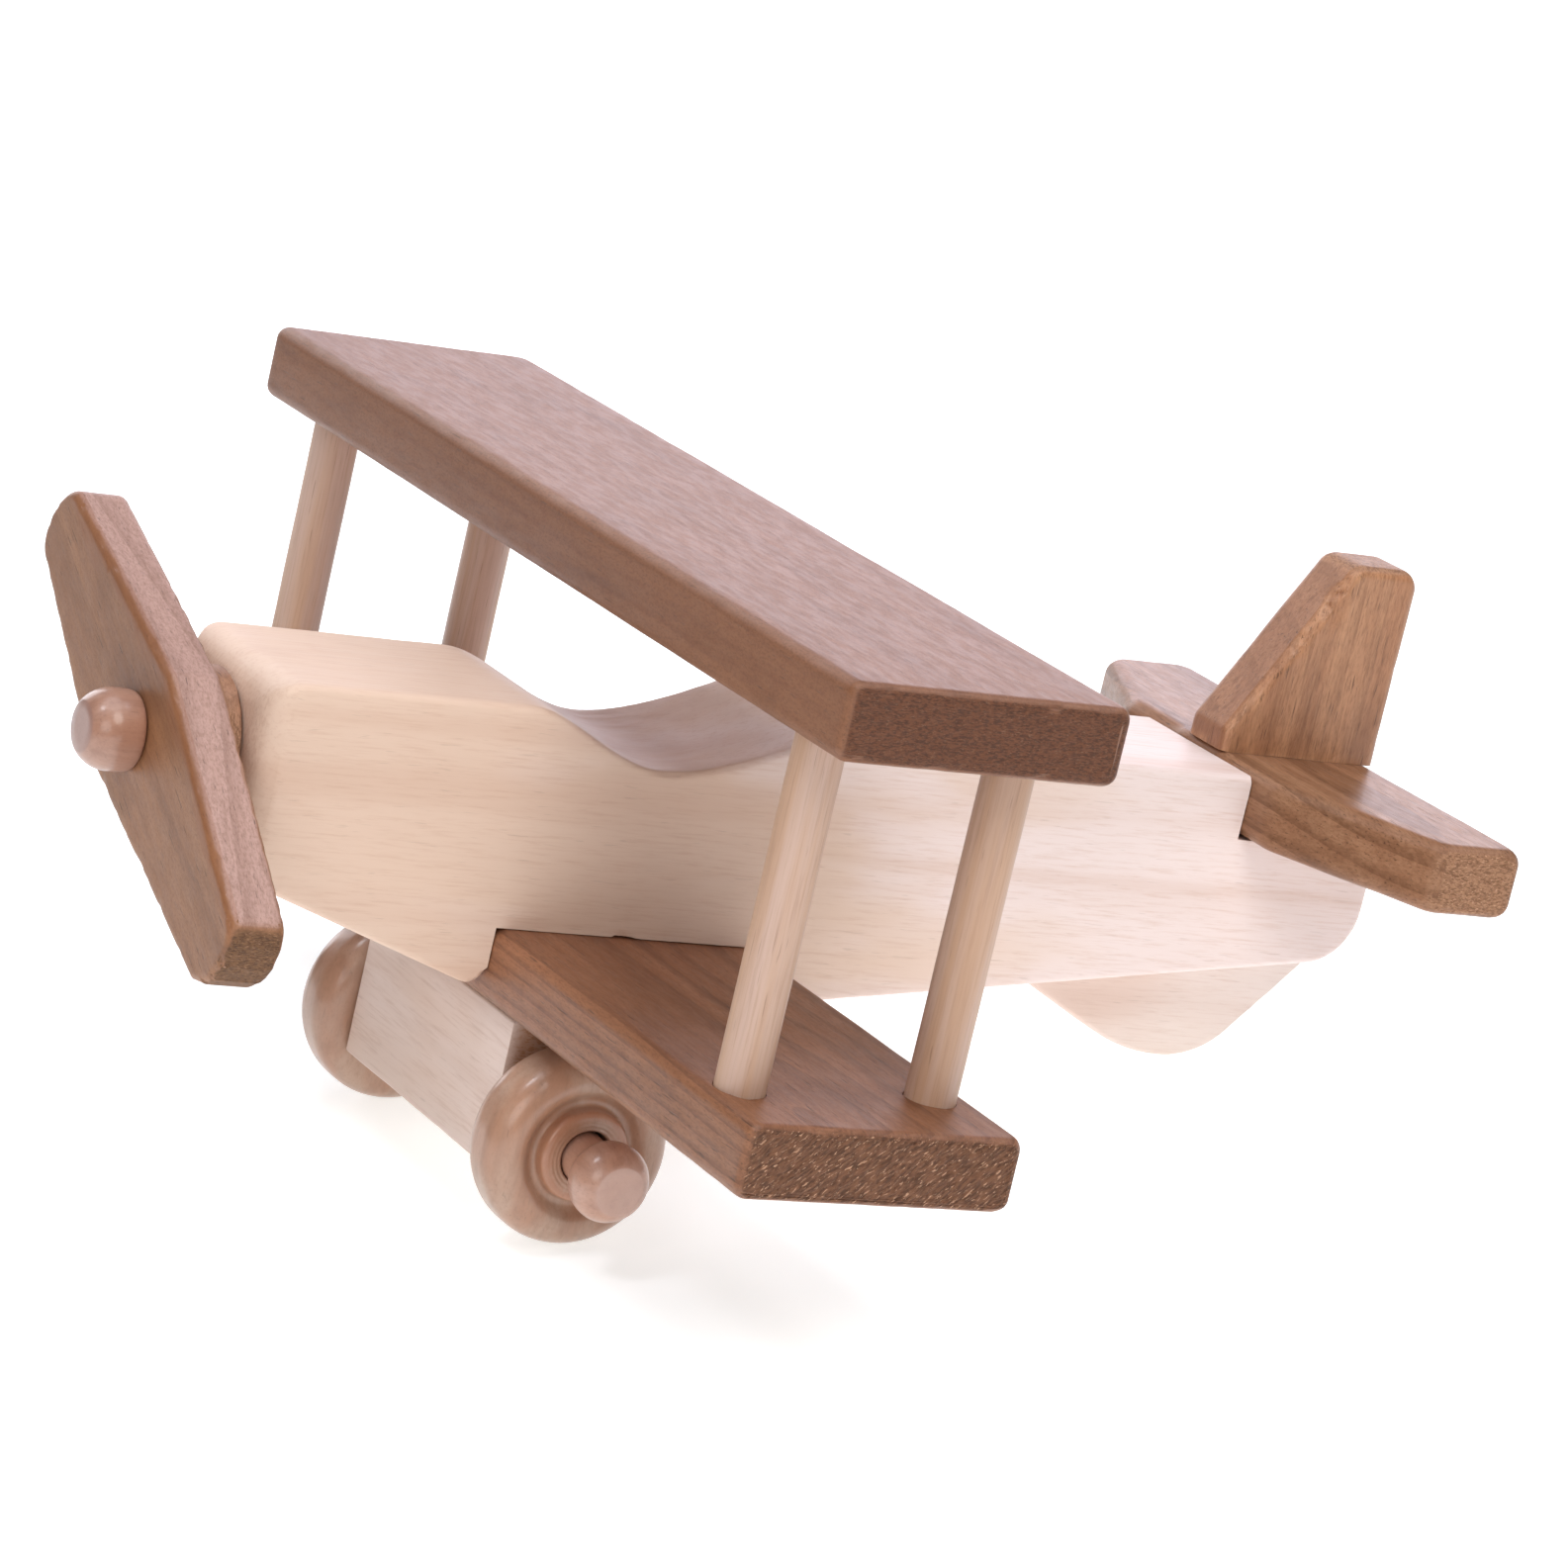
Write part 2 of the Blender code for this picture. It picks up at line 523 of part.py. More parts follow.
def make_tail(shop, maple, walnut):
    seat = TAILPLANE_SEAT["z"] + GAP
    middle = Matrix.Translation((0, 0, seat + TAILPLANE["depth"] / 2))
    tailplane = shop.board("tailplane", tailplane_outline(), TAILPLANE["depth"], TAILPLANE_EDGE, middle)
    finish(tailplane, walnut)
    to_port = Matrix.Translation((FIN["x"], 0, 0))
    fin = shop.board("tail_fin", fin_outline(), FIN["thickness"], FIN_EDGE, to_port @ SIDE_VIEW)
    finish(fin, walnut)
    skid = shop.board("tail_skid", skid_outline(), SKID_THICKNESS, SKID_EDGE, SIDE_VIEW)
    finish(skid, maple)


# ---------------------------------------------------------------- how it stands

def ground_pitch():
    """Nose-up angle of the line that touches the wheels and the skid's heel from below."""
    run = SKID_KEEL_Y - AXLE_Y
    rise = SKID_KEEL_Z + SKID_HEEL_RADIUS - AXLE_Z
    return atan2(rise, run) - asin((SKID_HEEL_RADIUS - WHEEL_RADIUS) / hypot(run, rise))


def stand_on_ground(airframe):
    """Pitch the airframe to its ground angle, with z = 0 under the wheels, centred along its length."""
    pitch = ground_pitch()
    airframe.rotation_euler = (-pitch, 0.0, 0.0)
    head_front = NOSE_Y - 3 * GAP - SPACER_THICKNESS - PROP_THICKNESS - PROP_FLOAT + GAP - HEAD_LENGTH
    nose_end = head_front * cos(pitch) + (PROP_AXIS_Z - HEAD_FACET) * sin(pitch)
    fin_top = TAILPLANE_SEAT["z"] + 2 * GAP + TAILPLANE["depth"] + FIN["height"] - FIN_CROWN_RADIUS
    tail_end = FIN["rear"] * cos(pitch) + fin_top * sin(pitch)
    lift = WHEEL_RADIUS - (AXLE_Z * cos(pitch) - AXLE_Y * sin(pitch))
    airframe.location = (0.0, -(nose_end + tail_end) / 2, lift)


def main():
    clear_scene()
    parts = make_collection("toy_biplane")
    cutters = make_collection("cutters")
    airframe = bpy.data.objects.new("airframe", None)
    parts.objects.link(airframe)
    shop = Workshop(parts, cutters, airframe)
    maple, walnut, birch, turned_wood = (make_material(name) for name in MATERIALS)
    make_fuselage(shop, maple)
    upper = make_wing(shop, "upper_wing", UPPER_WING, walnut)
    lower = make_wing(shop, "lower_wing", LOWER_WING, walnut)
    make_struts(shop, upper, lower, birch)
    make_undercarriage(shop, maple, turned_wood)
    make_propeller(shop, walnut, turned_wood)
    make_tail(shop, maple, walnut)
    stand_on_ground(airframe)


main()
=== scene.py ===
"""The looks of the wooden toy biplane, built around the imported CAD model.

Every board is drawn in its own axes, in millimetres, and placed in the level airframe's axes: X to port,
Y aft and Z up, with the zero of Y just ahead of the wings and the zero of Z at the lower wing's seat.
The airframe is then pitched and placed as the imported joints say.
"""

import json
from math import asin, atan2, cos, pi, radians, sin, sqrt

import bmesh
import bpy
from mathutils import Euler, Matrix, Vector, noise


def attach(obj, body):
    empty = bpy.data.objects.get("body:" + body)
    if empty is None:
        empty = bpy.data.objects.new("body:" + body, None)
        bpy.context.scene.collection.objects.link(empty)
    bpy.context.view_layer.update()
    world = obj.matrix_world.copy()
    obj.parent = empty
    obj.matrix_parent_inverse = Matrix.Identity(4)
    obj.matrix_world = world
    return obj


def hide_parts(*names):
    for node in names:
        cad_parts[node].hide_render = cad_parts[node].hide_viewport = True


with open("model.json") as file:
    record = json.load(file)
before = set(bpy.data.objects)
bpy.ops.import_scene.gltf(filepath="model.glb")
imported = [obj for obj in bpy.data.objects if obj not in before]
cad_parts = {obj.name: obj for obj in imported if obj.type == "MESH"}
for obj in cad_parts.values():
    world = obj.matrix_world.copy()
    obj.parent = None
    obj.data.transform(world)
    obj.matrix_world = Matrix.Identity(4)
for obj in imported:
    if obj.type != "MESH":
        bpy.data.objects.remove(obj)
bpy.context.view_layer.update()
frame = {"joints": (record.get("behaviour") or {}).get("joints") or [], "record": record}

MM = 0.001
AIR = 0.06  # what a visible glue line leaves open
CAD_GAP = 0.3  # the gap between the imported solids
OVERRUN = 3.0  # how far a drill starts outside the wood
ARRIS = 0.5  # chamfer on the ends of the struts and the spacer

# Camera, in the airframe's axes: millimetres, degrees about X, Y and Z, and millimetres of lens.
CAMERA_PLACE = (927.15, -496.1, 276.27)
CAMERA_TURN = (76.624, -12.83, 61.615)
CAMERA_LENS = 144.34

# Fuselage
BODY_WIDTH = 38.1
NOSE_Y = -42.0
TAIL_Y = 186.7
DECK_Z = 39.3
NOSE_TOP_RADIUS = 6.6
NOSE_CHIN_Z = 5.0
CHIN_Z = -11.9
CHIN_RADIUS = 3.2
TAIL_HEEL_RADIUS = 11.0
NOSE_PLAN_RADIUS = 6.0
BODY_EDGE = 1.3
COCKPIT = {"front": 7.0, "front_lip": (15.0, DECK_Z), "front_foot": (25.0, 30.0), "floor": (35.0, 30.0),
           "rear_foot": (45.0, 30.0), "rear_rise": (58.0, 36.0), "rear": 65.5}
TAILPLANE_SEAT = (154.9, 27.2)

# Wings: front edge, chord, span, underside and depth
UPPER_WING = {"front": 9.0, "chord": 53.5, "span": 228.6, "base": 59.6, "depth": 13.5}
LOWER_WING = {"front": 9.0, "chord": 52.4, "span": 229.8, "base": -13.4, "depth": 13.1}
WING_EDGE = 2.35
WING_FRONT_CORNER = 2.6
WING_REAR_CORNER = 3.8
WING_TIP_BAND = 2.4  # how far in from each tip the mesh is fine, and its grid there
WING_TIP_GRID = 0.42
BELLY_FRONT = (61.7, -11.3)
BELLY_REAR = (TAIL_Y, 6.2)

STRUT_RADIUS = 4.4
STRUT_SOCKET = 7.0
STRUTS = {
    "strut_port_front": (97.0, 15.7),
    "strut_port_rear": (95.7, 52.7),
    "strut_starboard_front": (-95.6, 17.0),
    "strut_starboard_rear": (-95.7, 52.7),
}

# Undercarriage
BLOCK = {"length": 57.6, "depth": 24.0, "front": 10.9, "base": -40.0}
BLOCK_EDGE = 0.8
AXLE_Y = 22.5
AXLE_Z = -32.4
WHEEL_RADIUS = 17.4
RIM_WIDTH = 13.0
RIM_SHOULDER = 5.2
HUB_WIDTH = 13.8
HUB_RADIUS = 8.4
HUB_RIPPLE = 0.04  # half the depth of the turning marks on the hub's face
HUB_RIPPLES = 3.5  # and how many there are
DISH_RADIUS = 9.4
DISH_DEPTH = 2.0
WHEEL_INNER_X = BLOCK["length"] / 2 + 0.5
WHEEL_FLOAT = 5.2  # free travel of a wheel between the block and the peg's head
AXLE_SLACK = 0.1  # how far a peg sits below the wheel's axis at the block
AXLE_DROOP = radians(2.0)

# Pegs
PEG_RADIUS = 4.0
PEG_BORE = 4.9
HEAD_RADIUS = 7.1
HEAD_LENGTH = 8.2
HEAD_FACET = 4.3
HEAD_NECK = 5.2
PEG_WAIST = 4.42  # the shank's radius where it runs in a wheel
PEG_LIFT = 0.36  # how far a drooping peg bows up inside its wheel
PEG_SOCKET = 20.0

# Propeller, seen from ahead with the blade upright and the hub at zero
PROP_AXIS_Z = 23.4
PROP_THICKNESS = 10.3
PROP_UPPER_TIP = ((7.6, 51.6), (-8.2, 53.4))
PROP_LOWER_TIP = ((-8.2, -49.4), (9.0, -53.2))
PROP_WAIST = ((-15.4, 9.5), (15.9, -2.5))
PROP_UPPER_BULGE = 2.9
PROP_LOWER_BULGE = 4.3
PROP_EDGE = 1.6
PROP_CORNER = 4.5
PROP_WORN_BAND = 5.5
PROP_LEAN = radians(62.6)
PROP_FLOAT = 1.1
SPACER_RADIUS = 12.6
SPACER_THICKNESS = 3.9

# Tail
TAILPLANE = {"front": 155.2, "rear": 189.6, "root": 26.0, "tip": 19.0, "half_span": 59.4, "depth": 13.1}
TAILPLANE_EDGE = 3.0
FIN = {"x": 0.9, "front": 155.2, "rear": 189.7, "toe": 3.6, "crown": 14.4, "height": 37.0, "thickness": 12.9}
FIN_EDGE = 2.1
FIN_CROWN_RADIUS = 4.0
SKID_THICKNESS = 9.5
SKID_EDGE = 0.9
SKID_KEEL = (160.5, -19.3)
SKID_TOE_RADIUS = 35.0
SKID_TOE_TURN = radians(26.0)
SKID_HEEL_RADIUS = 18.0
SKID_HEEL_TURN = radians(45.0)
SKID_FRONT_Y = 120.0
SKID_REAR = (188.2, 1.9)
SKID_TOP_REAR_Y = 178.5

SIDE_VIEW = Matrix.Rotation(pi / 2, 4, "Z") @ Matrix.Rotation(pi / 2, 4, "X")  # drawn X, Y become Y, Z
FRONT_VIEW = Matrix.Rotation(pi / 2, 4, "X")  # drawn X, Y become X, Z
TO_PORT = Matrix.Rotation(pi / 2, 4, "Y")  # turned +Z becomes +X
TO_STARBOARD = Matrix.Rotation(-pi / 2, 4, "Y")
TO_NOSE = FRONT_VIEW  # turned +Z becomes -Y

FIBRE_ORDER = {"X": (0, 1, 2), "Y": (1, 2, 0), "Z": (2, 0, 1)}  # fibres first, then across


# ---------------- the frame

def airframe_matrix():
    """Places the level airframe, in millimetres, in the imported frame, from the joints' axes."""
    joints = {joint["name"]: joint for joint in frame["joints"]}
    ahead = Vector(joints["propeller_spin"]["axis"])
    turn = Matrix.Rotation(-atan2(ahead.z, -ahead.y), 4, "X")
    axle = Vector(joints["wheel_port_spin"]["pos_m"])
    level_axle = turn @ Vector((axle.x, AXLE_Y * MM, AXLE_Z * MM))
    return Matrix.Translation(axle - level_axle) @ turn @ Matrix.Scale(MM, 4)


AIRFRAME = airframe_matrix()
BODY_OF = {node: body for body, nodes in frame["record"]["behaviour"]["bodies"].items() for node in nodes}


def add_object(name, data):
    thing = bpy.data.objects.new(name, data)
    bpy.context.scene.collection.objects.link(thing)
    return thing


def shape_object(name, shape):
    """An object with a finished shape, which is freed."""
    mesh = bpy.data.meshes.new(name)
    shape.to_mesh(mesh)
    shape.free()
    return add_object(name, mesh)


# ---------------- outlines

def arc(centre, radius, start, end, steps=16):
    """Points of an arc, with angles in radians from the drawn X axis."""
    angles = [start + (end - start) * i / steps for i in range(steps + 1)]
    return [(centre[0] + radius * cos(a), centre[1] + radius * sin(a)) for a in angles]


def round_corner(before, corner, after, radius, steps=10):
    """Points of the arc that rounds a corner between two straight edges."""
    corner, before, after = Vector(corner), Vector(before), Vector(after)
    to_before = (before - corner).normalized()
    to_after = (after - corner).normalized()
    half_angle = to_before.angle(to_after) / 2
    centre = corner + (to_before + to_after).normalized() * (radius / sin(half_angle))
    start = corner + to_before * (radius * cos(half_angle) / sin(half_angle)) - centre
    turn = -to_before.angle_signed(to_after)
    sweep = (pi - abs(turn)) * (1 if turn < 0 else -1)
    return [tuple(centre + Matrix.Rotation(sweep * i / steps, 2) @ start) for i in range(steps + 1)]


def ease(start, start_handle, end_handle, end, steps=24):
    """Points of a cubic curve, without its start and with its end."""
    corners = (start, start_handle, end_handle, end)
    points = []
    for i in range(1, steps):
        t = i / steps
        s = 1 - t
        weights = (s ** 3, 3 * s * s * t, 3 * s * t * t, t ** 3)
        points.append(tuple(sum(w * c[k] for w, c in zip(weights, corners)) for k in range(2)))
    return points + [end]


# ---------------- solids

def inset(outline, depths):
    """Moves each edge of an anticlockwise outline inward by its own depth."""
    points = []
    for i, place in enumerate(outline):
        here = Vector(place)
        inward = []
        for start, end in ((outline[i - 1], place), (place, outline[(i + 1) % len(outline)])):
            along = (Vector(end) - Vector(start)).normalized()
            inward.append(Vector((-along.y, along.x)))
        first, second = inward
        deep, deeper = depths[i - 1], depths[i]
        turn = first.x * second.y - first.y * second.x
        if abs(turn) < (0.01 if deep == deeper else 0.5):
            points.append(here + (first * deep + second * deeper) / 2)
        else:
            shift = (deep * second.y - deeper * first.y, deeper * first.x - deep * second.x)
            points.append(here + Vector(shift) / turn)
    return points


def face_outward(shape):
    """Turns all faces outward. Blender can guess the side wrong, and the sign of the volume settles it."""
    bmesh.ops.recalc_face_normals(shape, faces=shape.faces)
    if shape.calc_volume(signed=True) < 0.0:
        bmesh.ops.reverse_faces(shape, faces=shape.faces)


def prism(outline, thickness, rim, rounded=lambda middle: True, segments=6):
    """A board sawn to an outline, with its rims rounded wherever rounded(edge's middle) says so."""
    outline = [p for i, p in enumerate(outline) if (Vector(p) - Vector(outline[i - 1])).length > 0.02]
    area = sum(a[0] * b[1] - a[1] * b[0] for a, b in zip(outline, outline[1:] + outline[:1]))
    if area < 0.0:
        outline.reverse()
    ends = list(zip(outline, outline[1:] + outline[:1]))
    rims = [rim if rounded((Vector(a) + Vector(b)) / 2) else 0.0 for a, b in ends]
    angles = [pi / 2 * k / segments for k in range(segments + 1)]
    levels = [(1.0 - cos(a), thickness / 2 - rim + rim * sin(a)) for a in angles]
    shape = bmesh.new()
    rings = []
    for share, height in [(share, -height) for share, height in reversed(levels)] + levels:
        places = inset(outline, [share * depth for depth in rims])
        rings.append([shape.verts.new((p.x, p.y, height)) for p in places])
    for lower, upper in zip(rings, rings[1:]):
        for i in range(len(outline)):
            j = (i + 1) % len(outline)
            shape.faces.new((lower[i], lower[j], upper[j], upper[i]))
    shape.faces.new(reversed(rings[0]))
    shape.faces.new(rings[-1])
    bmesh.ops.remove_doubles(shape, verts=shape.verts, dist=0.004)
    bmesh.ops.dissolve_degenerate(shape, edges=shape.edges, dist=0.004)
    face_outward(shape)
    return shape


def soften(outline, radius):
    """Rounds the sharp corners of an outline, as far as the edges beside them allow."""
    points = []
    for i, place in enumerate(outline):
        before, here, after = Vector(outline[i - 1]), Vector(place), Vector(outline[(i + 1) % len(outline)])
        turn = (here - before).angle(after - here)
        if turn < radians(30):
            points.append(place)
            continue
        room = 0.8 * min((here - before).length, (after - here).length)
        widest = room / sin(turn / 2) * cos(turn / 2)
        points += round_corner(before, here, after, min(radius, widest), steps=6)
    return points


def lathe(profile, steps):
    """A turned piece about Z, from (radius, height) points. A profile that misses the axis is a ring."""
    shape = bmesh.new()
    points = [shape.verts.new((radius, 0.0, height)) for radius, height in profile]
    edges = [shape.edges.new(pair) for pair in zip(points, points[1:])]
    if profile[0][0] > 0.0:
        edges.append(shape.edges.new((points[-1], points[0])))
    bmesh.ops.spin(shape, geom=points + edges, cent=(0, 0, 0), axis=(0, 0, 1), angle=2 * pi, steps=steps)
    bmesh.ops.remove_doubles(shape, verts=shape.verts, dist=0.001)
    face_outward(shape)
    return shape


def drilled(shape, holes, sides=48):
    """Bores round holes, each (start, end, radius), by a Boolean on throwaway objects."""
    solid = shape_object("solid", shape)
    throwaway = [solid]
    for start, end, radius in holes:
        start, end = Vector(start), Vector(end)
        drill = bmesh.new()
        turn = (end - start).to_track_quat("Z", "Y").to_matrix().to_4x4()
        bmesh.ops.create_cone(drill, cap_ends=True, segments=sides, radius1=radius, radius2=radius,
                              depth=(end - start).length, matrix=Matrix.Translation((start + end) / 2) @ turn)
        throwaway.append(shape_object("drill", drill))
        cut = solid.modifiers.new("cut", "BOOLEAN")
        cut.operation = "DIFFERENCE"
        cut.solver = "EXACT"
        cut.object = throwaway[-1]
    evaluated = solid.evaluated_get(bpy.context.evaluated_depsgraph_get())
    mesh = bpy.data.meshes.new_from_object(evaluated)
    shape = bmesh.new()
    shape.from_mesh(mesh)
    bpy.data.meshes.remove(mesh)
    for thing in throwaway:
        data = thing.data
        bpy.data.objects.remove(thing, do_unlink=True)
        bpy.data.meshes.remove(data)
    return shape


# ---------------- fine shape

def slice_at(shape, axis, places, faces=None):
    """Cuts faces, or the whole shape, by planes across one axis."""
    normal = Vector([float(k == axis) for k in range(3)])
    if faces is None:
        geom = shape.verts[:] + shape.edges[:] + shape.faces[:]
    else:
        # Dictionaries stand in for sets, because they keep one order, and each run then cuts alike.
        edges = dict.fromkeys(e for f in faces for e in f.edges)
        geom = [*dict.fromkeys(v for e in edges for v in e.verts), *edges, *faces]
    for place in places:
        cut = bmesh.ops.bisect_plane(shape, geom=geom, dist=0.0005, plane_co=normal * place, plane_no=normal)
        geom = cut["geom"]


def spread(low, high, spacing):
    """Evenly spaced places strictly between two ends."""
    count = max(1, round((high - low) / spacing))
    return [low + (high - low) * i / count for i in range(1, count)]


def slice_all(shape, spacing, through=None):
    """A coarse grid over the whole piece, so that it can be uneven. through is its step across Z, if any."""
    for axis, step in enumerate((spacing, spacing, through)):
        if step:
            places = [v.co[axis] for v in shape.verts]
            slice_at(shape, axis, spread(min(places), max(places), step))


def refine(shape, low, high, spacing):
    """A fine grid over the faces that lie in a box."""
    for axis in range(3):
        middles = {f: f.calc_center_median() for f in shape.faces}
        inside = [f for f, c in middles.items() if all(low[k] <= c[k] <= high[k] for k in range(3))]
        slice_at(shape, axis, spread(low[axis], high[axis], spacing), inside)


def refine_tips(shape, half_span, band, along, across):
    """A fine grid over both tips of a board, at places along Y and across Z."""
    slice_at(shape, 0, [band - half_span, half_span - band])
    for sign in (-1, 1):
        for axis, places in ((1, along), (2, across)):
            tip = [f for f in shape.faces if sign * f.calc_center_median().x > half_span - band]
            slice_at(shape, axis, places, tip)


def fractal(point, octaves=3):
    return noise.fractal(point, 1.0, 2.0, octaves)


def weather(shape, uneven=0.12, size=22.0, wear=0.35, wear_size=5.0, seed=0.0):
    """Sanding by hand: faces dip a little, and rounded rims are rubbed down here and there. All inward."""
    shape.normal_update()
    shift = Vector((seed, -2 * seed, 3 * seed))
    moves = []
    for v in shape.verts:
        a = v.normal.z ** 2
        rim = 4 * a * (1 - a)
        dip = uneven * max(0.0, 0.5 + 0.5 * fractal(v.co / size + shift, 2))
        rub = wear * rim * max(0.0, fractal(v.co / wear_size + shift))
        moves.append(-v.normal * (dip + rub))
    for v, move in zip(shape.verts, moves):
        v.co += move


def tear_ends(shape, axis, depth, size, lean=0.0, stretch=2.5):
    """Rough sawn end grain on the faces at both ends, drawn out along a leaning direction."""
    shape.normal_update()
    across, up = [k for k in range(3) if k != axis]
    moves = []
    for v in shape.verts:
        facing = abs(v.normal[axis])
        if facing < 0.8:
            continue
        sign = 1 if v.normal[axis] > 0 else -1
        along = v.co[across] * cos(lean) + v.co[up] * sin(lean)
        over = -v.co[across] * sin(lean) + v.co[up] * cos(lean)
        point = Vector((along / (size * stretch), over / size, 7.3 * sign))
        ridge = 0.5 + 0.5 * noise.fractal(point, 0.6, 2.1, 4)
        moves.append((v, -sign * depth * ridge * min(1.0, (facing - 0.8) / 0.15)))
    for v, move in moves:
        v.co[axis] += move


def dent(shape, centre, reach, depth, direction):
    """Presses or chips a small hollow: reach is its half-size along each axis."""
    centre, direction = Vector(centre), Vector(direction).normalized()
    for v in shape.verts:
        away = Vector([(v.co[k] - centre[k]) / reach[k] for k in range(3)])
        share = 1.0 - away.length_squared
        if share > 0.0:
            ragged = 0.7 + 0.6 * noise.noise(v.co * 1.3)
            v.co += direction * (depth * share * ragged)


# ---------------- putting pieces in place

def install(node, shape, place, material, fibre="X", heart=(0.0, 0.0, 0.0), rims=True, worn=None):
    """Makes the visible piece of a CAD node. heart moves the piece in the tree that it was sawn from."""
    order = FIBRE_ORDER[fibre]
    shape.normal_update()
    mesh = bpy.data.meshes.new(node)
    wood = [v.co[order[k]] + heart[k] for v in shape.verts for k in range(3)]
    ends = [abs(v.normal[order[0]]) for v in shape.verts]
    # side is how far a face looks across the board: walnut paints light and shade by it.
    sides = [1.0 - v.normal.z ** 2 - v.normal[order[0]] ** 2 for v in shape.verts]
    # By default worn marks the rounded rims, where walnut lays wear, and on the fin partly a painted
    # highlight.
    if worn is None:
        worn = [4 * v.normal.z ** 2 * (1 - v.normal.z ** 2) if rims else 0.0 for v in shape.verts]
    shape.transform(AIRFRAME @ place)
    face_outward(shape)
    shape.to_mesh(mesh)
    shape.free()
    mesh.attributes.new("wood", "FLOAT_VECTOR", "POINT").data.foreach_set("vector", wood)
    for name, values in (("end_grain", ends), ("worn", worn), ("side", sides)):
        mesh.attributes.new(name, "FLOAT", "POINT").data.foreach_set("value", values)
    mesh.materials.append(material)
    mesh.shade_smooth()
    mesh.set_sharp_from_angle(angle=radians(42))
    piece = add_object(node + "_wood", mesh)
    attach(piece, BODY_OF[node])
    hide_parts(node)


# ---------------- materials

def paint(red, green, blue):
    """A display colour, 0 to 255, as a linear colour."""
    linear = [((c / 255 + 0.055) / 1.055) ** 2.4 if c > 10 else c / 255 / 12.92 for c in (red, green, blue)]
    return (*linear, 1.0)


def dimmed(tone, share):
    return [c * share for c in tone]


class Recipe:
    """A Principled material under construction. Pattern sizes are per millimetre of wood."""

    def __init__(self, name, **sockets):
        self.material = bpy.data.materials.new(name)
        self.material.use_nodes = True
        self.tree = self.material.node_tree
        self.shader = self.tree.nodes["Principled BSDF"]
        for socket, value in sockets.items():
            self.shader.inputs[socket.replace("_", " ")].default_value = value
        self.wood = self.attribute("wood", "Vector")

    def add(self, kind, inputs, **settings):
        node = self.tree.nodes.new(kind)
        for key, value in settings.items():
            setattr(node, key, value)
        for key, value in inputs.items():
            if isinstance(value, bpy.types.NodeSocket):
                self.tree.links.new(value, node.inputs[key])
            else:
                node.inputs[key].default_value = value
        return node

    def attribute(self, name, output="Fac"):
        return self.add("ShaderNodeAttribute", {}, attribute_name=name).outputs[output]

    def noise(self, stretch, detail=2.0, roughness=0.5, distortion=0.0, place=None):
        """Noise of stretch waves per millimetre, along the fibres and in the two directions across them."""
        inputs = {0: self.wood if place is None else place, 1: stretch}
        scaled = self.add("ShaderNodeVectorMath", inputs, operation="MULTIPLY").outputs[0]
        inputs = {"Vector": scaled, "Scale": 1.0, "Detail": detail, "Roughness": roughness,
                  "Distortion": distortion}
        return self.add("ShaderNodeTexNoise", inputs).outputs[0]

    def end_noise(self, stretch, lean):
        """Noise on sawn end grain, drawn out along a leaning direction."""
        inputs = {"Vector": self.wood, "Angle": lean}
        leaning = self.add("ShaderNodeVectorRotate", inputs, rotation_type="X_AXIS").outputs[0]
        return self.noise(stretch, 3.0, 0.6, 0.4, leaning)

    def math(self, operation, a, b=0.0):
        return self.add("ShaderNodeMath", {0: a, 1: b}, operation=operation).outputs[0]

    def plus(self, a, b):
        return self.math("ADD", a, b)

    def times(self, a, b):
        return self.math("MULTIPLY", a, b)

    def between(self, value, low, high, to_low=0.0, to_high=1.0):
        inputs = {"Value": value, "From Min": low, "From Max": high, "To Min": to_low, "To Max": to_high}
        return self.add("ShaderNodeMapRange", inputs, interpolation_type="SMOOTHSTEP").outputs[0]

    def mix(self, factor, a, b):
        return self.add("ShaderNodeMix", {0: factor, 6: a, 7: b}, data_type="RGBA").outputs[2]

    def tint(self, colour, tone, share):
        """Lays a display colour over a colour, by a share of 0 to 1."""
        return self.mix(share, colour, paint(*tone))

    def rings(self, spacing, wander):
        """0 to 1 across each year's growth, wandering along the trunk."""
        parts = self.add("ShaderNodeSeparateXYZ", {0: self.wood}).outputs
        squares = [self.math("POWER", parts[k], 2.0) for k in (1, 2)]
        radius = self.math("SQRT", self.plus(*squares))
        drift = self.times(self.noise((0.006, 0.02, 0.02), 2.0), wander)
        return self.math("FRACT", self.math("DIVIDE", self.plus(radius, drift), spacing))

    def finish(self, colour, roughness, height):
        """height is in millimetres."""
        self.tree.links.new(colour, self.shader.inputs["Base Color"])
        self.tree.links.new(roughness, self.shader.inputs["Roughness"])
        bump = self.add("ShaderNodeBump", {"Height": height, "Distance": MM, "Strength": 1.0})
        self.tree.links.new(bump.outputs[0], self.shader.inputs["Normal"])
        return self.material


END_FLECK_TINT = (206, 160, 128)


